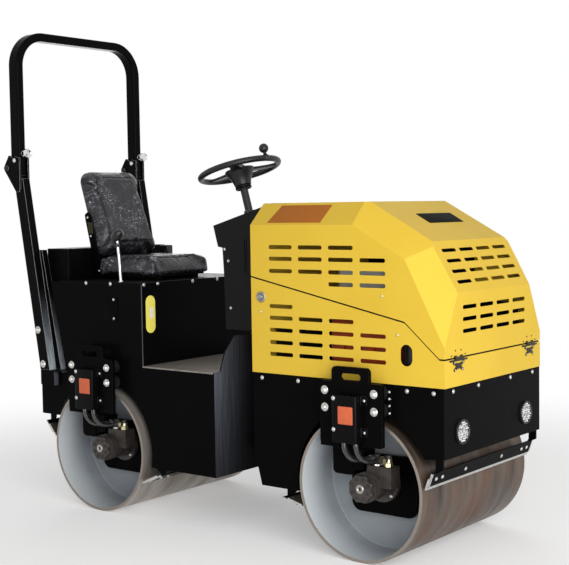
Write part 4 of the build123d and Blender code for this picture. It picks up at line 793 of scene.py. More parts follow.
@dataclass(frozen=True)
class Fastener:
    """A bolt or screw as its head shows it, with its washer."""

    head: float
    height: float
    washer: float = 0.0
    washer_thick: float = 0.002
    sides: int = 6

    def add(self, shape: Shape, place: Matrix) -> None:
        """Adds the head, standing on the place's XY plane, to a shape."""
        base = 0.0
        if self.washer:
            base = self.washer_thick
            rim = 0.25 * base
            shape.turned(((0, 0), (self.washer - rim, 0), (self.washer, rim), (self.washer, base - rim),
                          (self.washer - rim, base), (0, base)), place, 28)
        top = base + self.height
        if self.sides == 6:
            shape.turned([(0, base), (self.head, base), (self.head, top - 0.12 * self.head),
                          (0.86 * self.head, top), (0, top)], place, 6)
            shape.turned([(0, top), (0.62 * self.head, top), (0.62 * self.head, top + 0.1 * self.head),
                          (0.5 * self.head, top + 0.22 * self.head), (0, top + 0.22 * self.head)], place, 20)
            return
        dome = [(self.head * math.cos(a), base + self.height * (0.25 + 0.75 * math.sin(a)))
                for a in (math.radians(d) for d in (0, 18, 36, 54, 70))]
        socket = 0.36 * self.head
        shape.turned([(0, base), (self.head, base), *dome, (socket, dome[-1][1]),
                      (0.9 * socket, base + 0.45 * self.height), (0, base + 0.45 * self.height)], place, 24)


BUFFER_BOLT = Fastener(head=0.0125, height=0.008, washer=0.0165, washer_thick=0.003)
FRAME_BOLT = Fastener(head=0.0095, height=0.006, washer=0.0125)
LEG_BOLT = Fastener(head=0.011, height=0.008, washer=0.017, washer_thick=0.003)
PANEL_SCREW = Fastener(head=0.0062, height=0.0038, washer=0.0082, washer_thick=0.0012, sides=0)
SMALL_SCREW = Fastener(head=0.0048, height=0.003, washer=0.006, washer_thick=0.001, sides=0)
MOTOR_BOLT = Fastener(head=0.0075, height=0.007)
CAP_SCREW = Fastener(head=0.0062, height=0.006, sides=0)


def fastened(name: str, kind: Fastener, places: Iterable[Matrix], body: str, finish: Finish = ZINC) -> None:
    """Makes one piece of like fasteners."""
    shape = Shape()
    for place in places:
        kind.add(shape, place)
    shape.piece(name, finish, body)


# ---------------------------------------------------------------- the machine


class Side(Enum):
    """Sides of the machine, by the sign of y."""

    RIGHT = -1
    LEFT = 1

    @property
    def word(self) -> str:
        """The side's name in node names."""
        return self.name.lower()

    def out(self) -> Vector:
        """Outward direction."""
        return Vector((0.0, float(self.value), 0.0))


class End(Enum):
    """Ends of the machine, with the CAD body of each frame."""

    REAR = "rear"
    FRONT = "front"

    @property
    def body(self) -> str:
        """The frame body at this end."""
        return f"{self.value}_frame"

    @property
    def axle(self) -> Vector:
        """Middle of the drum's axle."""
        low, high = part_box(f"{self.value}_drum")
        return (low + high) / 2

    def at(self, x: float, y: float, z: float) -> Vector:
        """Place given along the machine from this end's axle, across it from the middle, up from the ground."""
        return Vector((self.axle.x + x, y, z))

    def on(self, side: Side, x: float, y: float, z: float) -> Matrix:
        """Place on one side of the machine that looks outward, given like at() but with y counted outward."""
        return facing(self.at(x, side.value * y, z), side.out())

    def both(self, y: float, spots: Profile) -> list[Matrix]:
        """Places on both sides, from how far each lies from the axle and above the ground."""
        return [self.on(side, x, y, z) for side in Side for x, z in spots]


@dataclass
class Drum:
    """One smooth drum with the weld beads where its webs meet the shell."""

    end: End
    shell: DrumShell
    bead: float = 0.005
    web_y: float = 0.195
    wall: float = 0.012

    def build(self) -> None:
        """Dresses the shell and lays the beads."""
        node = f"{self.end.value}_drum"
        low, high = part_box(node)
        axle = (low + high) / 2
        radius = (high.z - low.z) / 2
        finish = replace(self.shell, axle_x=axle.x, axle_z=axle.z, radius=radius, half_width=high.y)
        dress(finish, node)
        beads = Shape()
        for side in Side:
            beads.ring(radius - self.wall, self.bead, self.end.on(side, 0.0, self.web_y, axle.z), 96, 8)
        beads.piece(f"{node}_weld_beads", finish, node)


@dataclass
class DrumMotor:
    """Hydraulic motor at each side of a drum, with its fittings and hose ends."""

    end: End
    face_y: float = 0.393
    flange_y: float = 0.247
    flange_circle: float = 0.067
    cap_circle: float = 0.037
    cap_bolts: int = 8
    rib_ys: Row = (0.262, 0.281, 0.345, 0.366)
    lobe_circle: float = 0.0435
    lobe_depth: float = 0.024
    elbows: Row = (0.028, 0.078)
    hose_tops: Row = (-0.033, 0.021)
    elbow_y: float = 0.314
    port_top: float = 0.36
    hose_y: float = 0.445
    hose_low: float = 0.388
    rib: Profile = mm((50, -4), (58, -3), (58, 3), (50, 4))
    lobe: Profile = capped(0.0125, 0.02, 0.0105, 0.0225)
    centre_ring: Profile = mm((7, -2), (16, -2), (17.5, 0), (17.5, 1.5), (16, 3), (9.5, 3), (7, 1))
    port_nut: Profile = mm((12.5, 0), (17.5, 0), (17.5, 14), (15.5, 16), (12.5, 16))
    port_collar: Profile = mm((13.2, 18), (15, 18), (15, 30), (14, 32), (13.2, 32))
    hose_nut: Profile = mm((12.5, 0), (16.5, 0), (16.5, 12), (12.5, 12))
    ferrule: Profile = mm((10.2, -16), (12.2, -16), (12.6, -12), (12, -8), (12.6, -4), (12.2, -1), (10.2, 0))

    def build(self) -> None:
        """Dresses the castings and hoses and adds bolts, ribs, nuts and ferrules."""
        prefix = self.end.value
        dress(CAST_MOTOR, f"{prefix}_drum_motors")
        dress(HOSE, f"{prefix}_motor_hoses")
        axle = self.end.axle
        heads, ribs, ring, ferrules, flange = Shape(), Shape(), Shape(), Shape(), Shape()
        nuts = (Shape(), Shape())
        for side in Side:
            out = side.out()
            face = axle + out * self.face_y
            for offset in around(self.cap_bolts, self.cap_circle):
                CAP_SCREW.add(heads, facing(face + offset, out))
            for offset in around(4, self.flange_circle):
                MOTOR_BOLT.add(flange, facing(axle + out * self.flange_y + offset, out))
            for y in self.rib_ys:
                ribs.turned(self.rib, facing(axle + out * y, out), 48, closed=True)
            # lobes of the end casing between its bolts
            for offset in around(self.cap_bolts, self.lobe_circle):
                ribs.turned(self.lobe, facing(face - out * self.lobe_depth + offset, out), 18)
            ring.turned(self.centre_ring, facing(face, out), 36, closed=True)
            for top_x, elbow_x, fitting in zip(self.hose_tops, self.elbows, nuts):
                elbow = Vector((axle.x + elbow_x, out.y * self.elbow_y, self.hose_low))
                corner = Vector((axle.x + top_x, out.y * self.hose_y, self.hose_low))
                way = (elbow - corner).normalized()
                port = Vector((elbow.x, elbow.y, self.port_top))
                fitting.turned(self.port_nut, facing(port + UP * 0.002, UP), 6, closed=True)
                fitting.turned(self.port_collar, facing(port, UP), 24, closed=True)
                fitting.turned(self.hose_nut, facing(elbow - way * 0.033, way), 6, closed=True)
                ferrules.turned(self.ferrule, facing(elbow - way * 0.034, way), 20, closed=True)
        body = self.end.body
        heads.piece(f"{prefix}_motor_cap_screws", DARK_IRON, body)
        ribs.piece(f"{prefix}_motor_casing_ribs", CAST_MOTOR, body)
        ring.piece(f"{prefix}_motor_centre_rings", TURNED_STEEL, body)
        flange.piece(f"{prefix}_motor_flange_bolts", ZINC, body)
        nuts[0].piece(f"{prefix}_back_hose_nuts", ZINC, body)
        nuts[1].piece(f"{prefix}_front_hose_nuts", YELLOW_ZINC, body)
        ferrules.piece(f"{prefix}_hose_ferrules", DARK_IRON, body, "blade_steel")


@dataclass
class Bracket:
    """Drum yoke with its buffer bolts, folded cover and blank lifting sticker."""

    end: End
    side: Side
    face_y: float = 0.428
    cover_y: float = 0.4645     # outer face of the folded cover
    cover_x: Pair = (-0.0785, 0.0345)
    cover_z: Pair = (0.4645, 0.6425)
    roll: float = 0.009         # bend radius of the cover's corners
    bolt_xs: Row = (-0.132, 0.092)
    bolt_zs: Row = (0.587, 0.653)
    cover_screws: Profile = mm((-67, 631), (-67, 513))
    plate_screws: Profile = mm((48, 625), (48, 505))
    sticker_at: Pair = (-0.013, 0.569)
    sticker: Pair = (0.067, 0.067)

    def build(self) -> None:
        """Dresses the yoke and adds its cover, fasteners and sticker."""
        prefix = f"{self.end.value}_{self.side.word}"
        body, on = self.end.body, partial(self.end.on, self.side)
        dress(BLACK_COAT, f"{prefix}_yoke")
        self.lid(prefix)
        bolts = [on(x, self.face_y, z) for x in self.bolt_xs for z in self.bolt_zs]
        fastened(f"{prefix}_buffer_bolts", BUFFER_BOLT, bolts, body)
        screws = [on(x, self.cover_y, z) for x, z in self.cover_screws]
        screws += [on(x, self.face_y, z) for x, z in self.plate_screws]
        fastened(f"{prefix}_cover_screws", PANEL_SCREW, screws, body)
        x, z = self.sticker_at
        label = Shape().cut(rounded_outline(*self.sticker, 0.004), 0.0006, on(x, self.cover_y, z), 0.0002)
        label.piece(f"{prefix}_blank_sticker", ORANGE_FILM, body)

    def lid(self, prefix: str) -> None:
        """Folded sheet cover over the hose ends, with rolled upright corners and a screwed flange in front."""
        out = self.side.value
        (back, front), (bottom, top) = self.cover_x, self.cover_z
        inner, outer = self.face_y - 0.004, self.cover_y
        arc = [math.radians(15 * k) for k in range(7)]
        outline = [(back, inner)]
        outline += [(back + self.roll * (1 - math.cos(a)), outer - self.roll * (1 - math.sin(a))) for a in arc]
        outline += [(front - self.roll * (1 - math.sin(a)), outer - self.roll * (1 - math.cos(a))) for a in arc]
        outline += [(front, inner)]
        shape = Shape()
        base = Matrix.Translation(self.end.at(0.0, 0.0, bottom))
        shape.cut([(x, out * y) for x, y in outline], top - bottom, base, 0.0015)
        for x, z in self.plate_screws:
            shape.cut(rounded_outline(0.03, 0.034, 0.006), 0.0022,
                      self.end.on(self.side, x - 0.002, self.face_y - 0.0004, z), 0.0008)
        shape.piece(f"{prefix}_hose_cover", COVER_COAT, self.end.body)


@dataclass
class Scrapers:
    """Scraper bars of one drum: blade, holder bolts and end clips."""

    end: End
    half: float = 0.395
    # columns: which way from the axle, tip angle above the axle, blade angle above level, blade length
    rows: tuple[tuple[int, float, float, float], ...] = ()
    reach: float = 0.291
    holder_start: float = 0.35  # of the blade's length
    holder_rest: float = 0.024  # past the blade's end
    bolt_ys: Row = (-0.355, -0.311, -0.141, 0.141, 0.311, 0.355)

    def build(self) -> None:
        """Dresses blades, holders and hangers and bolts them."""
        prefix = self.end.value
        dress(BLADE_STEEL, f"{prefix}_scraper_blades")
        dress(BLACK_COAT, f"{prefix}_scraper_holders", f"{prefix}_scraper_hangers")
        axle = self.end.axle
        bolts, lips = Shape(), Shape()
        for sign, tip_angle, blade_angle, length in self.rows:
            tip = axle + self.reach * raised(sign, tip_angle)
            way, out = raised(sign, blade_angle), raised(sign, blade_angle - 90)
            start, stop = self.holder_start * length, length + self.holder_rest
            holder, high = tip + way * ((start + stop) / 2), 0.97 * (stop - start)
            for y in self.bolt_ys:
                PANEL_SCREW.add(bolts, facing(holder + out * 0.008 + Vector((0, y, 0)), out, way))
            # bright wear strips: along the working edge and up each end
            edge = facing(tip + way * (0.5 * start) + out * 0.003, out, way)
            lips.cut(rounded_outline(2 * self.half, 0.8 * start, 0.001, 1), 0.0015, edge, 0.0005)
            for side in Side:
                end = side.out()
                strip = facing(holder + out * 0.008 + end * (self.half - 0.004), out, way)
                lips.cut(rounded_outline(0.007, high, 0.001, 1), 0.0015, strip, 0.0005)
                # bright sawn ends of holder and blade
                for middle, wide, tall in ((holder + out * 0.0055, 0.0046, high),
                                           (tip + way * (length / 2), 0.0056, 0.97 * length)):
                    place = facing(middle + end * (self.half - 0.0002), end, way)
                    lips.cut(rounded_outline(wide, tall, 0.0005, 1), 0.0008, place, 0.0002)
        body = self.end.body
        bolts.piece(f"{prefix}_scraper_bolts", ZINC, body)
        lips.piece(f"{prefix}_scraper_wear_strips", ZINC, body)


@dataclass
class RearChassis:
    """Seat box, step, tank and the steelwork that carries them."""

    body: str = "rear_frame"
    side_y: float = 0.375
    box_front: float = 0.262
    deck_z: float = 1.027
    front_bolts: Row = (-0.357, -0.271, -0.044, 0.124, 0.271, 0.357)
    side_bolts: Profile = mm((-83, 1019.5), (73, 1019.5))
    hatch: tuple[float, float, float, float] = (0.033, 0.115, 0.857, 0.961)
    oval_at: Pair = (-0.319, 0.889)
    oval: Pair = (0.058, 0.164)
    cap: Profile = mm((0, 0), (48, 0), (48, 6), (42, 8), (42, 22), (38, 27), (12, 28), (10, 34), (0, 34))

    def build(self) -> None:
        """Dresses the rear nodes and adds hatches, screws, stickers and the filler cap."""
        dress(BLACK_COAT, "seat_box", "rear_tank", "seat_frame")
        dress(STEP_COAT, "rear_chassis")
        dress(FLOOR_STEEL, "floor_plate")
        dress(BUFFER_RUBBER, "rear_buffers")
        screws = [facing(End.REAR.at(self.box_front, y, self.deck_z - 0.0075), AHEAD) for y in self.front_bolts]
        fastened("deck_screws", PANEL_SCREW, screws + End.REAR.both(self.side_y, self.side_bolts), self.body)
        self.hatches()
        self.oval_sticker()
        self.filler()
        self.rear_plate()

    def hatches(self) -> None:
        """Small service hatch on each side of the seat box."""
        x0, x1, z0, z1 = self.hatch
        lids, screws = Shape(), []
        for side in Side:
            middle = End.REAR.on(side, (x0 + x1) / 2, self.side_y, (z0 + z1) / 2)
            lids.cut(rounded_outline(x1 - x0, z1 - z0, 0.008), 0.004, middle, 0.0012)
            screws += [End.REAR.on(side, x0 + 0.062, self.side_y + 0.004, z) for z in (z0 + 0.01, z1 - 0.01)]
        lids.piece("seat_box_hatches", BLACK_COAT, self.body)
        fastened("hatch_screws", SMALL_SCREW, screws, self.body)

    def oval_sticker(self) -> None:
        """Blank oval sticker on the front of the seat box, with a blank white patch on it."""
        y, z = self.oval_at
        oval = Shape().cut(rounded_outline(*self.oval, 0.0285, 10), 0.0006,
                           facing(End.REAR.at(self.box_front, y, z), AHEAD), 0.0002)
        oval.piece("blank_oval_sticker", YELLOW_FILM, self.body)
        patch = Shape().cut(rounded_outline(0.02, 0.046, 0.002), 0.0005,
                            facing(End.REAR.at(self.box_front + 0.0006, y + 0.006, z + 0.006), AHEAD), 0.0001)
        patch.piece("blank_white_patch", WHITE_FILM, self.body)

    def filler(self) -> None:
        """Water filler cap on top of the tank, behind the seat."""
        low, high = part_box("rear_tank")
        place = facing(((low.x + high.x) / 2, 0.18, high.z - 0.001), UP)
        cap = Shape().turned(self.cap, place, 48)
        for k in range(12):
            turn = Matrix.Rotation(math.pi / 6 * k, 4, "Z")
            cap.block((0.005, 0.01, 0.018), place @ turn @ Matrix.Translation((0.0425, 0, 0.007)), 0.0012)
        cap.piece("tank_filler_cap", GRIP_POLYMER, self.body)

    def rear_plate(self) -> None:
        """Fasteners on the machine's rear face."""
        low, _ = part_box("rear_tank")
        spots = ((0.3, 0.585), (0.14, 0.585), (0.3, 0.44), (0.14, 0.44))
        bolts = [facing((low.x, sign * y, z), -AHEAD) for sign in (-1, 1) for y, z in spots]
        fastened("rear_plate_bolts", PANEL_SCREW, bolts, self.body)


@dataclass
class RollBar:
    """Folding roll bar: legs, hoop, fold pins and the spring plungers that lock it up."""

    fold: Pair = (-0.564, 1.549)
    lock: Pair = (-0.504, 1.583)
    plunger: Pair = (-0.461, 1.615)
    leg_bolts: Profile = mm((-386, 795), (-357, 638))
    tube_y: float = 0.381
    leg_y: float = 0.401
    pin_half: float = 0.0355    # half the length of the fold pins
    pin_end: Profile = mm((0, 0), (9.5, 0), (10, 1), (10, 3), (8.5, 4.5), (0, 4.5))
    knob: Profile = mm((0, -4), (12.5, -4), (12.5, 3), (20, 6), (22.5, 9), (22.5, 17), (20.5, 19.5), (14, 20.5),
                       (10.5, 18), (0, 17))
    knob_collar: Profile = mm((9.2, -26), (13.5, -26), (13.5, -19), (9.2, -19))

    def build(self) -> None:
        """Dresses the tubes and adds pins, plungers and bolts."""
        dress(LEG_COAT, "roll_bar_legs")
        dress(TUBE_COAT, "roll_bar_hoop")
        at = End.REAR.at
        plungers, caps, locks = Shape(), Shape(), Shape()
        for side in Side:
            out = side.out()
            middle = side.value * self.tube_y
            for way in (out, -out):
                fold, lock = at(self.fold[0], middle, self.fold[1]), at(self.lock[0], middle, self.lock[1])
                FRAME_BOLT.add(caps, facing(fold + way * (self.pin_half - 0.001), way))
                locks.turned(self.pin_end, facing(lock + way * (self.pin_half - 0.002), way), 24)
            # knurled pull knob on the plunger, with its collar against the tube
            plunger = facing(at(self.plunger[0], middle, self.plunger[1]), AHEAD)
            plungers.turned(self.knob, plunger, 18)
            plungers.turned(self.knob_collar, plunger, 6, closed=True)
        plungers.piece("roll_bar_plunger_knobs", CHROME, "roll_bar_hoop")
        locks.piece("roll_bar_lock_pin_ends", ZINC, "roll_bar_hoop")
        caps.piece("fold_pin_nuts", DARK_IRON, "rear_frame", "blade_steel")
        fastened("roll_bar_leg_bolts", LEG_BOLT, End.REAR.both(self.leg_y, self.leg_bolts), "rear_frame")


@dataclass
class Pad:
    """One foam pad, blown out by pressure under its cover and then sewn."""

    name: str
    node: str
    finish: Finish
    width: float            # across the machine
    length: float
    thick: float
    corner: float
    foot_corner: float
    seam_inset: float
    place: Matrix
    foot_thick: float = 0.0     # thickness at its foot, where it tapers; 0 if it doesn't
    voxel: float = 0.006
    cap: float = 0.024
    shrink: float = 0.01
    groove: float = 0.004
    groove_width: float = 0.006
    piping: float = 0.0028
    fill: float = 0.8
    base: float = 0.012         # how much of its foot the cover's base holds
    pressure: float = 4.0
    frames: int = 20
    overshoot: float = 0.006    # how far the blown cover may stand past its size
    dish: float = 0.003         # how far the middle lies below the bolsters, and over what width
    dish_width: float = 0.05
    ripple: float = 0.0012      # height of the film's ripples along the bolsters

    @property
    def seam_half(self) -> Pair:
        """Half the width and half the length that the seam encloses."""
        return self.width / 2 - self.seam_inset, self.length / 2 - self.seam_inset

    def build(self) -> None:
        """Makes the pad and its piping, in place of the CAD solid."""
        pad = self.foam()
        self.blow(pad)
        self.fit(pad)
        pad = self.sew(pad)
        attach(pad, "rear_frame")
        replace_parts(pad, self.node)
        LOG.info("%s: %d faces, padded", self.name, len(pad.data.polygons))
        self.pipe(pad)

    def foam(self) -> Object:
        """The cut foam block as an even mesh in the pad's own frame: X across, Y along, Z out."""
        block = Shape()
        less = self.shrink
        outline = self.outline(self.width - 2 * less, self.length - 2 * less, self.corner, self.foot_corner, 10)
        block.cut(outline, self.thick - less, Matrix.Translation((0, self.length / 2, 0)), 0.018)
        raw = show(self.name, block.data(self.name))
        even = raw.modifiers.new("even", "REMESH")
        even.mode = "VOXEL"
        even.voxel_size = self.voxel
        self.apply(raw)
        return raw

    @staticmethod
    def outline(width: float, length: float, head: float, foot: float, steps: int) -> list[Pair]:
        """Rounded rectangle about the origin whose two ends have their own corner radius."""
        upper = [point for point in rounded_outline(width, length, head, steps) if point[1] > 0]
        return upper + [point for point in rounded_outline(width, length, foot, steps) if point[1] < 0]

    def corner_at(self, along: float) -> float:
        """Corner radius of the seam at that end of the pad."""
        near = self.corner if along > self.length / 2 else self.foot_corner
        return max(0.02, near - 0.4 * self.seam_inset)

    def fit(self, pad: Object) -> None:
        """Draws the blown pad out to its full size and tapers it from foot to head."""
        spots = np.array([v.co for v in pad.data.vertices])
        low, high = spots.min(axis=0), spots.max(axis=0)
        target_low = np.array((-self.width / 2, 0.0, 0.0))
        target = np.array((self.width, self.length, self.thick))
        spots = target_low + (spots - low) / (high - low) * target
        if self.foot_thick:
            along = spots[:, 1] / self.length
            spots[:, 2] *= (self.foot_thick + (self.thick - self.foot_thick) * along) / self.thick
        self.move(pad, spots)

    @staticmethod
    def move(pad: Object, spots: np.ndarray) -> None:
        """Puts the vertices of a pad where they belong."""
        pad.data.vertices.foreach_set("co", spots.astype(np.float32).ravel())
        pad.data.update()

    @staticmethod
    def apply(pad: Object) -> None:
        """Puts a piece's modifiers into its mesh."""
        graph = bpy.context.evaluated_depsgraph_get()
        mesh = bpy.data.meshes.new_from_object(pad.evaluated_get(graph))
        pad.modifiers.clear()
        pad.data = mesh

    def blow(self, pad: Object) -> None:
        """Swells the cover by pressure, holding its base flat and capping how far it moves."""
        start = np.array([v.co for v in pad.data.vertices])
        held = pad.vertex_groups.new(name="held")
        held.add([v.index for v in pad.data.vertices if v.co.z < self.base], 1.0, "REPLACE")
        cloth = pad.modifiers.new("cover", "CLOTH")
        cloth.settings.use_pressure = True
        cloth.settings.uniform_pressure_force = self.pressure
        cloth.settings.effector_weights.gravity = 0.0
        cloth.settings.vertex_group_mass = "held"
        cloth.point_cache.frame_start = 1
        cloth.point_cache.frame_end = self.frames
        for step in range(1, self.frames + 1):
            bpy.context.scene.frame_set(step)
        self.apply(pad)
        bpy.context.scene.frame_set(1)
        moved = np.array([v.co for v in pad.data.vertices])
        shift = moved - start
        reach = np.linalg.norm(shift, axis=1, keepdims=True)
        shift *= np.minimum(1.0, self.cap / np.maximum(reach, 1e-9))
        final = start + shift
        final[:, 2] = np.clip(final[:, 2], 0.0, self.thick + self.overshoot)
        half = self.width / 2 + 0.004
        final[:, 0] = np.clip(final[:, 0], -half, half)
        self.move(pad, final)

    def seam_distance(self, x: float, y: float) -> float:
        """Signed distance from the seam, a rounded rectangle set in from the pad's outline."""
        half_x, half_y = self.seam_half
        radius = self.corner_at(y)
        dx = abs(x) - (half_x - radius)
        dy = abs(y - self.length / 2) - (half_y - radius)
        outside = math.hypot(max(dx, 0.0), max(dy, 0.0))
        return outside + min(max(dx, dy), 0.0) - radius

    def sew(self, pad: Object) -> Object:
        """Smooths the cover, then pulls the seam in and lets the film ripple along the bolsters."""
        smooth = pad.modifiers.new("smooth", "SUBSURF")
        smooth.levels = smooth.render_levels = 1
        self.apply(pad)
        for vertex in pad.data.vertices:
            x, y, z = vertex.co
            if z < 0.35 * self.thick:
                continue
            gap = self.seam_distance(x, y)
            pull = self.groove * math.exp(-((gap / self.groove_width) ** 2))
            pull += self.dish * max(0.0, min(1.0, -gap / self.dish_width))
            wave = noise.noise(Vector((x * 60, y * 14, z * 60)))
            ripple = wave * self.ripple * math.exp(-((gap - 0.02) / 0.03) ** 2)
            vertex.co.z = z - pull + ripple
        pad.matrix_world = self.place
        pad.data.shade_smooth()
        pad.data.materials.clear()
        pad.data.materials.append(self.finish.material())
        return pad

    def pipe(self, pad: Object) -> None:
        """Lays the welt cord in the seam."""
        tree = BVHTree.FromObject(pad, bpy.context.evaluated_depsgraph_get())
        half_x, half_y = self.seam_half
        corners = self.outline(2 * half_x, 2 * half_y, self.corner_at(self.length), self.corner_at(0.0), 8)
        points = []
        for (ax, ay), (bx, by) in zip(corners, corners[1:] + corners[:1]):
            steps = max(1, round(math.hypot(bx - ax, by - ay) / 0.012))
            points += [(ax + (bx - ax) * k / steps, ay + (by - ay) * k / steps) for k in range(steps)]
        path = []
        for x, y in points:
            hit = tree.ray_cast(Vector((x, y + self.length / 2, 1.0)), Vector((0, 0, -1)))
            height = hit[0].z if hit[0] else self.thick
            path.append(self.place @ Vector((x, y + self.length / 2, height + 0.0008)))
        cord = Shape()
        rings = []
        for i, point in enumerate(path):
            way = (path[(i + 1) % len(path)] - path[i - 1]).normalized()
            up = self.place.to_3x3() @ UP
            across = way.cross(up).normalized()
            rings.append([cord.mesh.verts.new(point + self.piping * (across * math.cos(a) + up * math.sin(a)))
                          for a in (2 * math.pi * k / 8 for k in range(8))])
        cord.skin(rings, closed=True)
        cord.piece(f"{self.name}_piping", WHEEL_POLYMER, "rear_frame", "seat_vinyl", 60.0)


@dataclass
class Seat:
    """Driver's seat: cushion, back, and the recliner plates at its sides."""

    lean: float = math.radians(17.0)
    back_foot: Pair = (-0.158, 1.147)
    back_thick: float = 0.076
    back_foot_thick: float = 0.11
    back_height: float = 0.418
    plate_y: float = 0.176
    plate: Profile = mm((-221, 1036), (-173, 1040), (-221, 1200), (-255, 1325), (-273, 1338), (-293, 1326),
                        (-289, 1300), (-259, 1180), (-243, 1100))
    plate_bolts: Profile = mm((-273, 1312), (-255, 1224), (-204, 1062))
    spring_cover: Profile = mm((-262, 1236), (-236, 1236), (-244, 1288), (-274, 1290))
    retractor_at: Triple = (-0.155, 0.224, 1.127)

    def build(self) -> None:
        """Makes the pads and the side plates."""
        low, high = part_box("seat_cushion")
        cushion_place = facing((high.x, 0.0, low.z), UP, (-1.0, 0.0, 0.0))
        Pad("seat_cushion_pad", "seat_cushion", CUSHION_VINYL, width=high.y - low.y, length=high.x - low.x,
            thick=high.z - low.z, corner=0.045, foot_corner=0.03, seam_inset=0.05, place=cushion_place,
            voxel=0.0065).build()
        low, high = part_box("seat_back")
        out = Vector((math.cos(self.lean), 0.0, math.sin(self.lean)))
        up = Vector((-math.sin(self.lean), 0.0, math.cos(self.lean)))
        foot = End.REAR.at(self.back_foot[0], 0.0, self.back_foot[1]) - out * self.back_thick
        Pad("seat_back_pad", "seat_back", BACK_VINYL, width=high.y - low.y, length=self.back_height,
            thick=self.back_thick, corner=0.058, foot_corner=0.03, seam_inset=0.044,
            place=facing(foot, out, up), foot_thick=self.back_foot_thick, voxel=0.006, cap=0.022).build()
        self.recliner()
        self.retractor()

    def recliner(self) -> None:
        """Pressed plates that tie the back to the pan at each side, with their bolts."""
        for name, outline, thick, finish in (("plates", self.plate, 0.004, BLACK_COAT),
                                             ("spring_covers", self.spring_cover, 0.006, OLIVE_COAT)):
            shape = Shape()
            for side in Side:
                upright = Matrix(((1, 0, 0, 0), (0, 0, side.value, 0), (0, 1, 0, 0), (0, 0, 0, 1)))
                place = Matrix.Translation(End.REAR.at(0, side.value * self.plate_y, 0)) @ upright
                shape.cut(outline, thick, place, 0.0012)
            shape.piece(f"seat_recliner_{name}", finish, "rear_frame")
        bolts = End.REAR.both(self.plate_y + 0.004, self.plate_bolts)
        fastened("seat_recliner_bolts", SMALL_SCREW, bolts, "rear_frame")

    def retractor(self) -> None:
        """Belt reel on a bent bracket at the cushion's left rear corner."""
        x, y, z = self.retractor_at
        at = End.REAR.at
        reel = Shape().block((0.058, 0.04, 0.044), at(x, y, z), 0.007)
        reel.block((0.03, 0.006, 0.11), at(x, y - 0.018, z - 0.086), 0.001)
        reel.turned(capped(0.015, 0.004, 0.012, 0.006), facing(at(x, y + 0.02, z + 0.022), (0, 1, 0)), 28)
        reel.piece("seat_belt_reel", GRIP_POLYMER, "rear_frame")


@dataclass
class TravelLever:
    """Forward and reverse lever: a plated rod with a moulded teardrop grip."""

    rod: float = 0.0058
    # columns: ahead of the deck hole, up from the deck
    bend: Profile = mm((0, 0), (-3, 50), (-7, 100), (-13, 145), (-18, 185))
    # columns: ahead, down from the top, radius
    bulb: tuple[Triple, ...] = (
        (-0.03, 0.066, 0.01), (-0.03, 0.052, 0.0165), (-0.024, 0.036, 0.0225), (-0.01, 0.024, 0.0235),
        (0.002, 0.02, 0.0195), (0.01, 0.02, 0.011), (0.014, 0.021, 0.002))
    grip_foot: Profile = mm((0, 0), (10.5, 0), (12, 6), (11.5, 18), (0, 22))

    def build(self) -> None:
        """Builds the lever in place of the CAD node."""
        low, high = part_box("travel_lever")
        x, y, deck, top = (low.x + high.x) / 2, (low.y + high.y) / 2, low.z, high.z
        path = self.smooth([Vector((x + dx, y, deck + dz)) for dx, dz in self.bend])
        rod = Shape().swept(path, self.rod, 16)
        rod.turned(capped(0.012, 0.003, 0.0085, 0.005), facing((x, y, deck), UP), 6)
        lever = rod.piece("travel_lever_rod", CHROME, "rear_frame")
        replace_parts(lever, "travel_lever")
        middle = self.smooth([Vector((x + dx, y, top - drop)) for dx, drop, _ in self.bulb])
        grip = Shape().swept(middle, self.spread([wide for _, _, wide in self.bulb], len(middle)), 24)
        grip.turned(self.grip_foot, facing((x - 0.019, y, top - 0.082), (-0.2, 0, 1)), 24)
        grip.piece("travel_lever_grip", GRIP_POLYMER, "rear_frame", crease=50.0)

    @staticmethod
    def smooth(points: list[Vector], steps: int = 5) -> list[Vector]:
        """Points on a smooth curve through the given ones."""
        ends = [points[0] * 2 - points[1], *points, points[-1] * 2 - points[-2]]
        path = []
        for a, b, c, d in zip(ends, ends[1:], ends[2:], ends[3:]):
            for k in range(steps):
                t = k / steps
                path.append(0.5 * (2 * b + (c - a) * t + (2 * a - 5 * b + 4 * c - d) * t * t
                                   + (3 * b - a - 3 * c + d) * t ** 3))
        return [*path, points[-1]]

    @staticmethod
    def spread(values: list[float], count: int) -> list[float]:
        """Values drawn out evenly to a longer list."""
        return list(np.interp(np.linspace(0, len(values) - 1, count), range(len(values)), values))


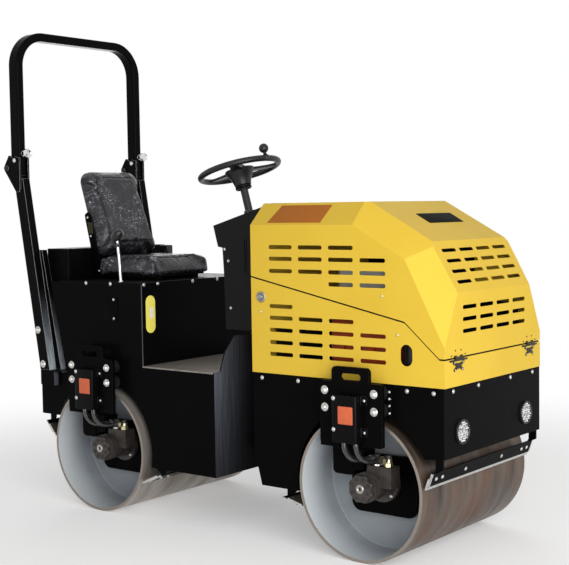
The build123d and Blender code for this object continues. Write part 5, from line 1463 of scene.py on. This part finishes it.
@dataclass
class FrontChassis:
    """Front frame with its skirt screws, lamps and the pivot castings."""

    body: str = "front_frame"
    side_y: float = 0.375
    screw_z: float = 0.667
    side_screws: Row = (-0.481, -0.3, 0.203, 0.316)
    front_screws: Row = (-0.312, -0.126, 0.126, 0.312)
    lamp_y: float = 0.25
    lamp_z: float = 0.515
    lens_field: float = 0.0355  # how far from the lamp's middle a lens may stand
    lens_pitch: float = 0.0098
    bezel: Profile = mm((39.5, -2), (46, -2), (46.5, 2), (44.5, 4.5), (41.5, 4.5), (39.5, 2))
    lens: Profile = mm((4.6, -0.5), (4.3, 1.2), (3.2, 2.4), (1.6, 3), (0, 3.2))
    strap_x: float = 0.126
    strap_screws: Row = (0.658, 0.632, 0.606, 0.578)
    pin_nut: Profile = mm((20.2, 0), (34, 0), (34, 10), (31, 12), (20.2, 12))

    def build(self) -> None:
        """Dresses the frame and adds screws and lamps."""
        dress(YELLOW_COAT, "firewall")
        dress(BLACK_COAT, "front_chassis", "pivot_yoke", "pivot_lugs", "barrel_clevis", "rod_clevis")
        dress(BUFFER_RUBBER, "front_buffers")
        dress(DARK_IRON, "headlights")
        _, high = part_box("front_chassis")
        screws = [facing((high.x, y, self.screw_z + 0.004), AHEAD) for y in self.front_screws]
        screws += End.FRONT.both(self.side_y, tuple((x, self.screw_z) for x in self.side_screws))
        fastened("skirt_screws", PANEL_SCREW, screws, self.body)
        self.lamps()
        self.loom_strap()
        self.pivot_nuts()

    def lamps(self) -> None:
        """Round work lamps: bezel, dark reflector plate, and a honeycomb of small lenses."""
        _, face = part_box("headlights")
        bezels, cells = Shape(), Shape()
        for side in Side:
            centre = Vector((face.x, side.value * self.lamp_y, self.lamp_z))
            bezels.turned(self.bezel, facing(centre, AHEAD), 64, closed=True)
            for row in range(-5, 6):
                for column in range(-5, 6):
                    dy = self.lens_pitch * (column + 0.5 * (row % 2))
                    dz = self.lens_pitch * 0.866 * row
                    if math.hypot(dy, dz) > self.lens_field:
                        continue
                    wobble = 0.0006 * noise.noise(Vector((dy * 400, dz * 400, side.value)))
                    cells.turned(self.lens, facing(centre + Vector((0, dy + wobble, dz - wobble)), AHEAD), 10)
        bezels.piece("lamp_bezels", GRIP_POLYMER, self.body, "lamp")
        cells.piece("lamp_lenses", LAMP_GLASS, self.body, crease=50.0)

    def loom_strap(self) -> None:
        """Clipped cable strap on the skirt beside each bracket."""
        straps, screws = Shape(), []
        for side in Side:
            on = partial(End.FRONT.on, side, self.strap_x)
            straps.cut(rounded_outline(0.016, 0.105, 0.004), 0.003, on(self.side_y, 0.612), 0.001)
            screws += [on(self.side_y + 0.003, z) for z in self.strap_screws]
        straps.piece("skirt_cable_straps", BLACK_COAT, self.body)
        fastened("skirt_strap_screws", SMALL_SCREW, screws, self.body)

    def pivot_nuts(self) -> None:
        """Castle nuts on the articulation pin."""
        low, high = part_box("pivot_yoke")
        pivot, _ = joint_axis("articulation")
        nuts = Shape()
        for z, normal in ((high.z - 0.0125, UP), (low.z + 0.0125, -UP)):
            nuts.turned(self.pin_nut, facing((pivot.x, pivot.y, z), normal), 6, closed=True)
        nuts.piece("pivot_pin_nuts", ZINC, "rear_frame")


@dataclass
class Hood:
    """Tilting hood over the fixed cowl, with its latch, seal, stickers and hinges."""

    side_y: float = 0.375
    seam: Profile = mm((-531, 1068), (193, 916), (340, 788), (363, 788))
    latch: Pair = (-0.48, 0.991)
    hinge_y: float = 0.28
    hinge_at: Pair = (0.3675, 0.791)
    cowl_screws: Profile = mm((-483, 932), (163, 872))
    ring: Profile = mm((11, -4), (21.5, 0), (22.5, 1.8), (20.5, 4.2), (14.5, 4.8), (12.5, 2.8), (11, 2.2))
    button: Profile = mm((0, -1), (11.2, -1), (11.2, 6.2), (9.8, 7.8), (4, 8.6), (0, 8.6))
    studs: Profile = mm((-50, 801), (-20, 818), (20, 818), (50, 801))
    rivets: Profile = mm((-30, -17), (30, -17), (-26, -43), (26, -43))
    wing: Profile = mm((-40, -10), (-12, -19), (12, -19), (40, -10), (41, -20), (18, -30), (36, -42), (30, -50),
                       (8, -40), (-8, -40), (-30, -50), (-36, -42), (-18, -30), (-41, -20))

    def build(self) -> None:
        """Dresses the sheet metal and adds its fittings."""
        dress(YELLOW_COAT, "hood", "lower_cowl")
        self.seal()
        self.latches()
        self.stickers()
        self.hinges()

    def seal(self) -> None:
        """Foam rubber strip on the cowl's edge, which fills the gap under the hood."""
        strip = Shape()
        y = self.side_y - 0.0065
        for sign in (-1, 1):
            path = [End.FRONT.at(x, sign * y, z + 0.0012) for x, z in self.seam]
            path[0].x += 0.002
            path[-1].x -= 0.0065
            strip.swept(path, 0.0042, 8)
        nose_x, nose_z = self.seam[-1]
        strip.swept([End.FRONT.at(nose_x - 0.0065, sy, nose_z + 0.0012) for sy in (-y, y)], 0.0042, 8)
        strip.piece("hood_seal", SEAL_RUBBER, "front_frame")

    def latches(self) -> None:
        """Push-button latch on each side of the cowl, and the small panel screws."""
        latch, button, screws = Shape(), Shape(), {"front_frame": [], "hood": []}
        for side in Side:
            on = partial(End.FRONT.on, side)
            place = on(self.latch[0], self.side_y, self.latch[1])
            latch.turned(self.ring, place, 40, closed=True)
            button.turned(self.button, place, 32)
            screws["front_frame"] += [on(x, self.side_y, z) for x, z in self.cowl_screws]
            screws["hood"].append(on(0.096, self.side_y, 1.012))
        latch.piece("hood_latch_rings", LATCH_ZINC, "front_frame")
        button.piece("hood_latch_buttons", LATCH_ZINC, "front_frame")
        for body, places in screws.items():
            fastened(f"{body}_panel_screws", SMALL_SCREW, places, body, YELLOW_ZINC)

    def stickers(self) -> None:
        """Blank sticker on the right roof edge and blank plate on the sloping breast."""
        edge_out = Vector((0.0, -0.086, 0.089)).normalized()
        place = facing(End.FRONT.at(-0.313, -0.3305, 1.32) + edge_out * 0.0003, edge_out)
        outline = ((-0.1135, 0.047), (-0.1375, -0.05), (0.1235, -0.05), (0.1335, 0.047))
        Shape().cut(outline, 0.0006, place, 0.0001).piece("blank_roof_sticker", ROOF_FILM, "hood")
        breast_out = Vector((0.15, 0.0, 0.272)).normalized()
        place = facing(End.FRONT.at(0.1065, 0.028, 1.2955) + breast_out * 0.0003, breast_out, (-1.0, 0.0, 0.3))
        Shape().cut(rounded_outline(0.258, 0.074, 0.005), 0.0012, place, 0.0004).piece(
            "blank_breast_plate", BADGE_FILM, "hood")

    @staticmethod
    def knuckle(length: float, radius: float = 0.0045, broken: float = 0.0003) -> Profile:
        """Profile of a hinge knuckle with its sharp edges broken."""
        end, step = radius - broken, broken + 0.0001
        return (0, 0), (end, 0), (radius, step), (radius, length - step), (end, length), (0, length)

    def hinges(self) -> None:
        """Two hinges at the nose: knuckles and studs on the hood, a butterfly leaf on the cowl."""
        x, z = End.FRONT.axle.x + self.hinge_at[0], self.hinge_at[1]
        _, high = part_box("hood")
        hood_part, studs, leaf, pins = Shape(), [], Shape(), []
        for side in Side:
            y = side.value * self.hinge_y
            for start, stop in ((-0.031, -0.012), (0.012, 0.031)):
                hood_part.turned(self.knuckle(stop - start), facing((x, y + start, z), (0, 1, 0)), 20)
                hood_part.block((stop - start, 0.009, 0.0025),
                                facing((high.x, y + (start + stop) / 2, z + 0.005), AHEAD), 0.0006)
            studs += [facing((high.x, y + dy, height), AHEAD) for dy, height in self.studs]
            leaf.cut(rounded_outline(0.128, 0.007, 0.002, 3), 0.0026, facing((high.x, y, z - 0.0085), AHEAD),
                     0.0008)
            leaf.turned(self.knuckle(0.022), facing((x, y - 0.011, z), (0, 1, 0)), 20)
            leaf.cut(self.wing, 0.003, facing((high.x, y, z), AHEAD), 0.001)
            pins += [facing((high.x + 0.003, y + dy, z + dz), AHEAD) for dy, dz in self.rivets]
        made = hood_part.piece("hood_hinge_knuckles", HINGE_STEEL, "hood")
        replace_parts(made, "hood_hinges")
        fastened("hood_hinge_studs", Fastener(0.0034, 0.002, sides=0), studs, "hood", HINGE_STEEL)
        made = leaf.piece("cowl_hinge_leaves", HINGE_STEEL, "front_frame")
        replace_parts(made, "cowl_hinges")
        fastened("cowl_hinge_rivets", Fastener(0.0036, 0.0018, sides=0), pins, "front_frame")


@dataclass
class Engine:
    """Air-cooled engine under the hood, seen through the slots and with the hood up."""

    body: str = "front_frame"
    fins: int = 13
    chassis_top: float = 0.6875

    housing: Profile = mm((0, 0), (62, 0), (66, 6), (66, 20), (30, 26), (0, 26))
    shroud: Profile = mm((0, 0), (150, 0), (156, 6), (156, 40), (145, 52), (70, 56), (66, 50), (0, 50))
    cleaner: Profile = mm((0, 0), (50, 0), (54, 6), (54, 150), (50, 156), (20, 160), (0, 160))
    silencer: Profile = mm((0, 0), (40, 2), (46, 10), (46, 190), (40, 198), (0, 200))
    valve_cap: Profile = mm((0, 0), (26, 0), (29, 4), (29, 14), (12, 18), (0, 18))
    canister: Profile = mm((0, 0), (34, 1), (38, 6), (38, 150), (34, 156), (16, 160), (0, 160))

    def build(self) -> None:
        """Builds crankcase, finned cylinder, shroud, cleaner, silencer, fuel tank and battery."""
        low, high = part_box("engine_block")
        width, depth, x, foot = high.x - low.x, high.y - low.y, (low.x + high.x) / 2, low.z
        core = Shape().block((width - 0.05, depth - 0.08, 0.115), (x, 0, foot), 0.012)
        core.block((width - 0.02, depth - 0.03, 0.012), (x, 0, foot + 0.112), 0.004)
        for k in range(self.fins):
            core.block((width - 0.1 + 0.012 * (k % 2), depth - 0.05, 0.0045),
                       (x - 0.02, 0, foot + 0.13 + 0.0125 * k), 0.0015)
        core.block((width - 0.15, depth - 0.12, 0.165), (x - 0.02, 0, foot + 0.128), 0.006)
        core.block((width - 0.12, depth - 0.07, 0.035), (x - 0.02, 0, foot + 0.293), 0.01)
        for sign in (-1, 1):
            spot = (x + 0.02, sign * (depth / 2 - 0.04), foot + 0.06)
            core.turned(self.housing, facing(spot, (0, sign, 0)), 40)
        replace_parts(core.piece("engine_castings", ENGINE_ENAMEL, self.body), "engine_block")
        for name, profile, at, way, steps, finish in (
                ("fan_shroud", self.shroud, (low.x + 0.058, 0, foot + 0.165), -AHEAD, 56, DARK_IRON),
                ("air_cleaner", self.cleaner, (x - 0.02, -0.1, high.z - 0.06), AHEAD, 40, GRIP_POLYMER),
                ("silencer", self.silencer, (x - 0.1, 0.11, high.z - 0.062), AHEAD, 36, BLADE_STEEL)):
            Shape().turned(profile, facing(at, way), steps).piece(f"engine_{name}", finish, self.body)
        at = End.FRONT.at
        tank = Shape().block((0.15, 0.3, 0.15), at(-0.414, 0.12, foot), 0.016)
        tank.turned(capped(0.03, 0.016, 0.026, 0.02), facing(at(-0.414, 0.18, foot + 0.149), UP), 32)
        tank.piece("fuel_tank", GRIP_POLYMER, self.body)
        battery = Shape().block((0.13, 0.19, 0.165), at(-0.414, -0.19, foot), 0.005)
        battery.block((0.136, 0.196, 0.016), at(-0.414, -0.19, foot + 0.165), 0.004)
        battery.piece("battery", GRIP_POLYMER, self.body)
        self.bay()

    def bay(self) -> None:
        """What shows through the slots: valve casing, coolant bottle, filter canister and noise baffles."""
        at, floor = End.FRONT.at, self.chassis_top
        casing = Shape().block((0.3, 0.1, 0.225), at(-0.05, -0.245, floor), 0.016)
        for k in range(4):
            casing.turned(self.valve_cap, facing(at(-0.155 + 0.07 * k, -0.294, floor + 0.12), (0, -1, 0)), 28)
        casing.piece("engine_side_casing", ENGINE_ENAMEL, self.body)
        bottle = Shape().block((0.26, 0.12, 0.095), at(-0.015, -0.265, 1.025), 0.02)
        bottle.turned(capped(0.022, 0.01, 0.018, 0.014), facing(at(0.07, -0.265, 1.119), UP), 28)
        bottle.piece("coolant_bottle", PALE_POLYMER, self.body)
        canister = Shape().turned(self.canister, facing(at(0.19, -0.305, 0.7), UP), 36)
        canister.piece("fuel_filter_canister", GRIP_POLYMER, self.body)
        baffles = Shape().block((0.76, 0.008, 0.26), at(-0.1, 0.346, floor), 0.002)
        baffles.block((0.53, 0.008, 0.23), at(-0.185, 0.346, floor + 0.256), 0.002)
        baffles.block((0.008, 0.64, 0.2), at(0.29, 0.0, floor), 0.002)
        baffles.piece("noise_baffles", SEAL_RUBBER, self.body)
        wall = Shape().block((0.006, 0.68, 0.39), at(-0.494, 0.0, floor), 0.002)
        wall.piece("engine_bay_rear_wall", YELLOW_COAT, self.body)


@dataclass
class Dash:
    """Dash box with its side screws and the driver's panel."""

    body: str = "front_frame"
    half: float = 0.205
    lip: Pair = (-0.878, 1.272)
    slope: float = 0.285
    side_screws: Profile = mm((-816, 1172), (-796, 1122), (-787, 922))
    row: float = 0.155          # how far up the panel its controls stand
    meter_y: float = 0.115
    key_y: float = -0.11
    meter_ring: Profile = mm((24, 0), (31, 0), (31, 4), (28, 7), (24, 6))
    key_ring: Profile = mm((8, 0), (17, 0), (17, 3), (14, 6), (8, 6))
    meter_face: Profile = mm((0, 0), (24.5, 0), (24.5, 3), (0, 3))
    switch: Profile = mm((0, 0), (11, 0), (11, 6), (8.5, 10), (8.5, 16), (6, 18), (0, 18))
    foot_ring: Profile = mm((20.5, -10), (27.5, -10), (28.5, -4), (28.5, 9), (26, 14), (20.5, 14))

    def build(self) -> None:
        """Dresses the box and adds screws, side flanges, gauge, key switch and push switches."""
        dress(DASH_COAT, "dash")
        dress(COLUMN_COAT, "steering_column")
        flange = Shape()
        for place in End.FRONT.both(self.half, ((-0.701, 1.145),)):
            flange.cut(rounded_outline(0.01, 0.15, 0.003), 0.003, place, 0.001)
        fastened("dash_side_screws", SMALL_SCREW, End.FRONT.both(self.half, self.side_screws), self.body)
        flange.piece("dash_side_flanges", TUBE_COAT, self.body)
        self.panel()

    def on_top(self, along: float, across: float) -> Matrix:
        """Place on the dash's sloping top, along it from the lip."""
        spot = End.FRONT.at(self.lip[0] + along, across, self.lip[1] + self.slope * along)
        return facing(spot, Vector((-self.slope, 0.0, 1.0)).normalized(), AHEAD)

    def panel(self) -> None:
        """Hour meter, key switch and push buttons beside the column."""
        meter, key = self.on_top(self.row, self.meter_y), self.on_top(self.row, self.key_y)
        bezel = Shape().turned(self.meter_ring, meter, 40, closed=True)
        bezel.turned(self.key_ring, key, 32, closed=True)
        bezel.piece("dash_bezels", CHROME, self.body)
        Shape().turned(self.meter_face, meter, 40).piece("hour_meter_face", WHITE_FILM, self.body)
        knobs = Shape()
        for across in (-0.165, -0.055, 0.055, 0.17):
            knobs.turned(self.switch, self.on_top(self.row, across), 24)
        knobs.block((0.004, 0.018, 0.022), key, 0.001)
        knobs.piece("dash_switches", GRIP_POLYMER, self.body)
        origin, axis = joint_axis("steering_turn")
        normal = Vector((-self.slope, 0.0, 1.0))
        rise = (self.on_top(0.0, 0.0).translation - origin).dot(normal) / axis.dot(normal)
        flange = Shape().turned(self.foot_ring, facing(origin + axis * rise, axis), 36, closed=True)
        flange.piece("column_foot_ring", ZINC, self.body)


@dataclass
class SteeringWheel:
    """Three-spoke wheel with a dished hub, a padded centre and a spinner knob."""

    rim: float = 0.175
    tube: float = 0.0135
    rim_up: float = 0.04
    spokes: int = 3
    knob_turn: float = math.radians(6.6)
    knob: float = 0.021
    knob_up: float = 0.044
    # a bowl that hangs round the column's top, under a domed horn pad
    hub: Profile = mm((0, 0.5), (30.5, 0.5), (32.5, -3), (32.5, -28), (34.5, -30), (37, -29), (40, -15),
                      (48, 5), (58, 22), (66, 37), (64.5, 42.5), (50, 44), (36, 46), (31.5, 51), (26, 59),
                      (12, 64), (0, 65))
    # columns: out from the hub, up, half the width, half the thickness
    spoke: tuple[tuple[float, float, float, float], ...] = (
        (0.05, 0.036, 0.028, 0.006), (0.085, 0.037, 0.024, 0.005), (0.125, 0.038, 0.0225, 0.0048),
        (0.158, 0.0395, 0.0225, 0.0055), (0.171, 0.04, 0.024, 0.006))
    finger_ridge: Profile = mm((0, -2.4), (4, -1.6), (5.2, 0), (4, 1.2), (0, 1.6))
    collar: Profile = mm((30.3, -46), (35, -46), (36.2, -44), (36.2, -35), (34.5, -33), (30.3, -33))
    knob_stem: Profile = mm((0, -8), (15, -8), (16.5, 0), (15.5, 10), (10, 15), (7.5, 20), (7.5, 30),
                            (10.5, 32.5))

    def build(self) -> None:
        """Builds the wheel in place of the CAD node."""
        origin, axis = joint_axis("steering_turn")
        # the hub's foot is the wheel's lowest point along its axis
        lowest = min((v.co - origin).dot(axis) for v in frame["nodes"]["steering_wheel"].data.vertices)
        place = facing(origin + axis * lowest, axis, (AHEAD - axis * AHEAD.dot(axis)).normalized())
        wheel = Shape()
        wheel.ring(self.rim, self.tube, place @ Matrix.Translation((0, 0, self.rim_up)), 120, 20)
        wheel.turned(self.hub, place, 56)
        for k in range(self.spokes):
            turn = place @ Matrix.Rotation(math.radians(30 + 120 * k), 4, "Z")
            rings = []
            for reach, height, half, thick in self.spoke:
                corners = rounded_outline(2 * half, 2 * thick, 0.8 * thick, 4)
                rings.append([wheel.mesh.verts.new(turn @ Vector((reach, y, height + z))) for y, z in corners])
            wheel.skin(rings, cap=True)
        for k in range(48):
            angle = 2 * math.pi * k / 48
            at = Vector((self.rim * math.cos(angle), self.rim * math.sin(angle),
                         self.rim_up - self.tube + 0.002))
            wheel.turned(self.finger_ridge, facing(place @ at, axis), 10)
        made = wheel.piece("steering_wheel_rim_and_hub", WHEEL_POLYMER, "steering_wheel", crease=40.0)
        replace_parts(made, "steering_wheel")
        collar = Shape().turned(self.collar, place, 48, closed=True)
        collar.piece("column_top_collar", TUBE_COAT, "front_frame")
        knob_at = Vector((self.rim * math.sin(self.knob_turn), self.rim * math.cos(self.knob_turn),
                          self.rim_up))
        ball = [(self.knob * math.cos(a), self.knob_up + self.knob * math.sin(a))
                for a in (math.radians(d) for d in range(-55, 90, 12))]
        knob = Shape().turned((*self.knob_stem, *ball, (0, self.knob_up + self.knob)),
                              place @ Matrix.Translation(knob_at), 36)
        knob.piece("steering_spinner_knob", GRIP_POLYMER, "steering_wheel", crease=40.0)


@dataclass
class SteeringCylinder:
    """Steering ram between the two frames."""

    gland: Profile = mm((26.5, -22), (29, -22), (29.5, -20), (29.5, -4), (27.5, -1), (26.5, -1))
    port: Profile = mm((0, 0), (9, 0), (9, 9), (6.5, 10), (6.5, 14), (0, 14))

    def build(self) -> None:
        """Dresses barrel and rod and adds the gland and port fittings."""
        dress(BLACK_COAT, "steering_barrel")
        dress(CHROME, "steering_rod")
        low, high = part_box("steering_barrel")
        y, z = (low.y + high.y) / 2, (low.z + high.z) / 2
        gland = Shape().turned(self.gland, facing((high.x, y, z), AHEAD), 40, closed=True)
        for x in (low.x + 0.085, high.x - 0.04):
            gland.turned(self.port, facing((x, y, high.z - 0.0008), UP), 6)
        gland.piece("steering_gland_and_ports", ZINC, "steering_barrel", "cylinder_steel")


# ---------------------------------------------------------------- studio


@dataclass
class Studio:
    """Plain pale floor, soft lamps and the camera."""

    eye: Triple = (4.018, -4.149, 1.346)     # from the rear axle
    ahead: Triple = (-0.61666, 0.78484, -0.06126)
    above: Triple = (-0.02593, 0.05752, 0.99801)
    lens: float = 77.49
    floor_radius: float = 9.0
    sky: float = 0.38
    # columns: name, direction from the machine, distance, width, watts
    lamps: tuple[tuple[str, Triple, float, float, float], ...] = (
        ("key", (1.0, -0.75, 0.12), 6.0, 4.6, 350.0),
        ("top", (0.1, 0.1, 1.0), 5.0, 4.0, 6.0),
        ("back", (-0.8, 0.9, 0.35), 6.0, 4.0, 70.0),
    )

    def build(self) -> None:
        """Sets up world, lamps, floor and camera."""
        self.world()
        self.light()
        self.floor()
        self.camera()
        bpy.context.scene.view_settings.view_transform = "Standard"

    def world(self) -> None:
        """Even light, white to the camera and in reflections."""
        made = bpy.data.worlds.new("studio")
        bpy.context.scene.world = made
        add = partial(add_node, bare_tree(made))
        path = add("LightPath")
        shown = add("Math", {0: path.outputs["Is Camera Ray"], 1: path.outputs["Is Glossy Ray"]},
                    operation="MAXIMUM")
        shown = add("Math", {0: shown, 1: path.outputs["Is Transmission Ray"]}, operation="MAXIMUM")
        strength = add("MapRange", {0: shown, 3: self.sky, 4: 1.0})
        light = add("Background", {"Color": (1.0, 1.0, 1.0, 1.0), "Strength": strength})
        add("OutputWorld", {"Surface": light})

    def light(self) -> None:
        """Large soft lamps aimed at the middle of the machine."""
        middle = Vector((0.0, 0.0, 0.9))
        for name, direction, distance, width, watts in self.lamps:
            data = bpy.data.lights.new(name, "AREA")
            data.shape = "SQUARE"
            data.size = width
            data.energy = watts
            lamp = show(name, data)
            lamp.location = middle + Vector(direction).normalized() * distance
            lamp.rotation_euler = Vector(direction).to_track_quat("Z", "Y").to_euler()

    def floor(self) -> None:
        """White floor that keeps the machine's shadow and fades into the white surround."""
        mesh = bpy.data.meshes.new("floor")
        shape = bmesh.new()
        bmesh.ops.create_circle(shape, cap_ends=True, segments=96, radius=self.floor_radius)
        shape.to_mesh(mesh)
        shape.free()
        show("floor", mesh)
        made = bpy.data.materials.new("white_studio_floor")
        add = partial(add_node, bare_tree(made))
        where = add("TexCoord").outputs["Object"]
        reach = add("VectorMath", {0: where}, operation="LENGTH")
        far = add("MapRange", {0: reach, 1: 1.6, 2: 4.0}, interpolation_type="SMOOTHSTEP")
        path = add("LightPath")
        shown = add("Math", {0: path.outputs["Is Camera Ray"], 1: path.outputs["Is Glossy Ray"]},
                    operation="MAXIMUM")
        paint = add("BsdfDiffuse", {"Color": (0.86, 0.86, 0.86, 1.0)})
        lift = add("MapRange", {0: shown, 4: 0.3})
        glow = add("Emission", {"Strength": lift})
        near = add("AddShader", {0: paint, 1: glow})
        clear = add("BsdfTransparent")
        fade = add("MixShader", {0: far, 1: near, 2: clear})
        add("OutputMaterial", {"Surface": fade})
        mesh.materials.append(made)

    def camera(self) -> None:
        """Camera at eye height off the machine's right front corner."""
        data = bpy.data.cameras.new("camera")
        data.lens = self.lens
        data.sensor_width = 36.0
        camera = show("camera", data)
        back = -Vector(self.ahead).normalized()
        right = Vector(self.above).cross(back).normalized()
        turn = Matrix((right, back.cross(right), back)).transposed()
        camera.matrix_world = Matrix.Translation(End.REAR.at(*self.eye)) @ turn.to_4x4()
        bpy.context.scene.camera = camera


def main() -> None:
    """Builds every sub-assembly in order, then the studio."""
    logging.basicConfig(level=logging.INFO, format="%(message)s")
    Studio().build()
    for end, shell in ((End.REAR, REAR_SHELL), (End.FRONT, FRONT_SHELL)):
        Drum(end, shell).build()
        DrumMotor(end).build()
        for side in Side:
            Bracket(end, side).build()
    Scrapers(End.FRONT, rows=((1, 6.8, 70.0, 0.046), (-1, -20.0, 15.0, 0.074))).build()
    Scrapers(End.REAR, rows=((1, -25.0, 25.0, 0.1), (-1, 5.7, 50.0, 0.066))).build()
    for part in (RearChassis(), RollBar(), Seat(), TravelLever(), FrontChassis(), Hood(), Engine(), Dash(),
                 SteeringWheel(), SteeringCylinder()):
        part.build()


if __name__ == "__main__":
    main()
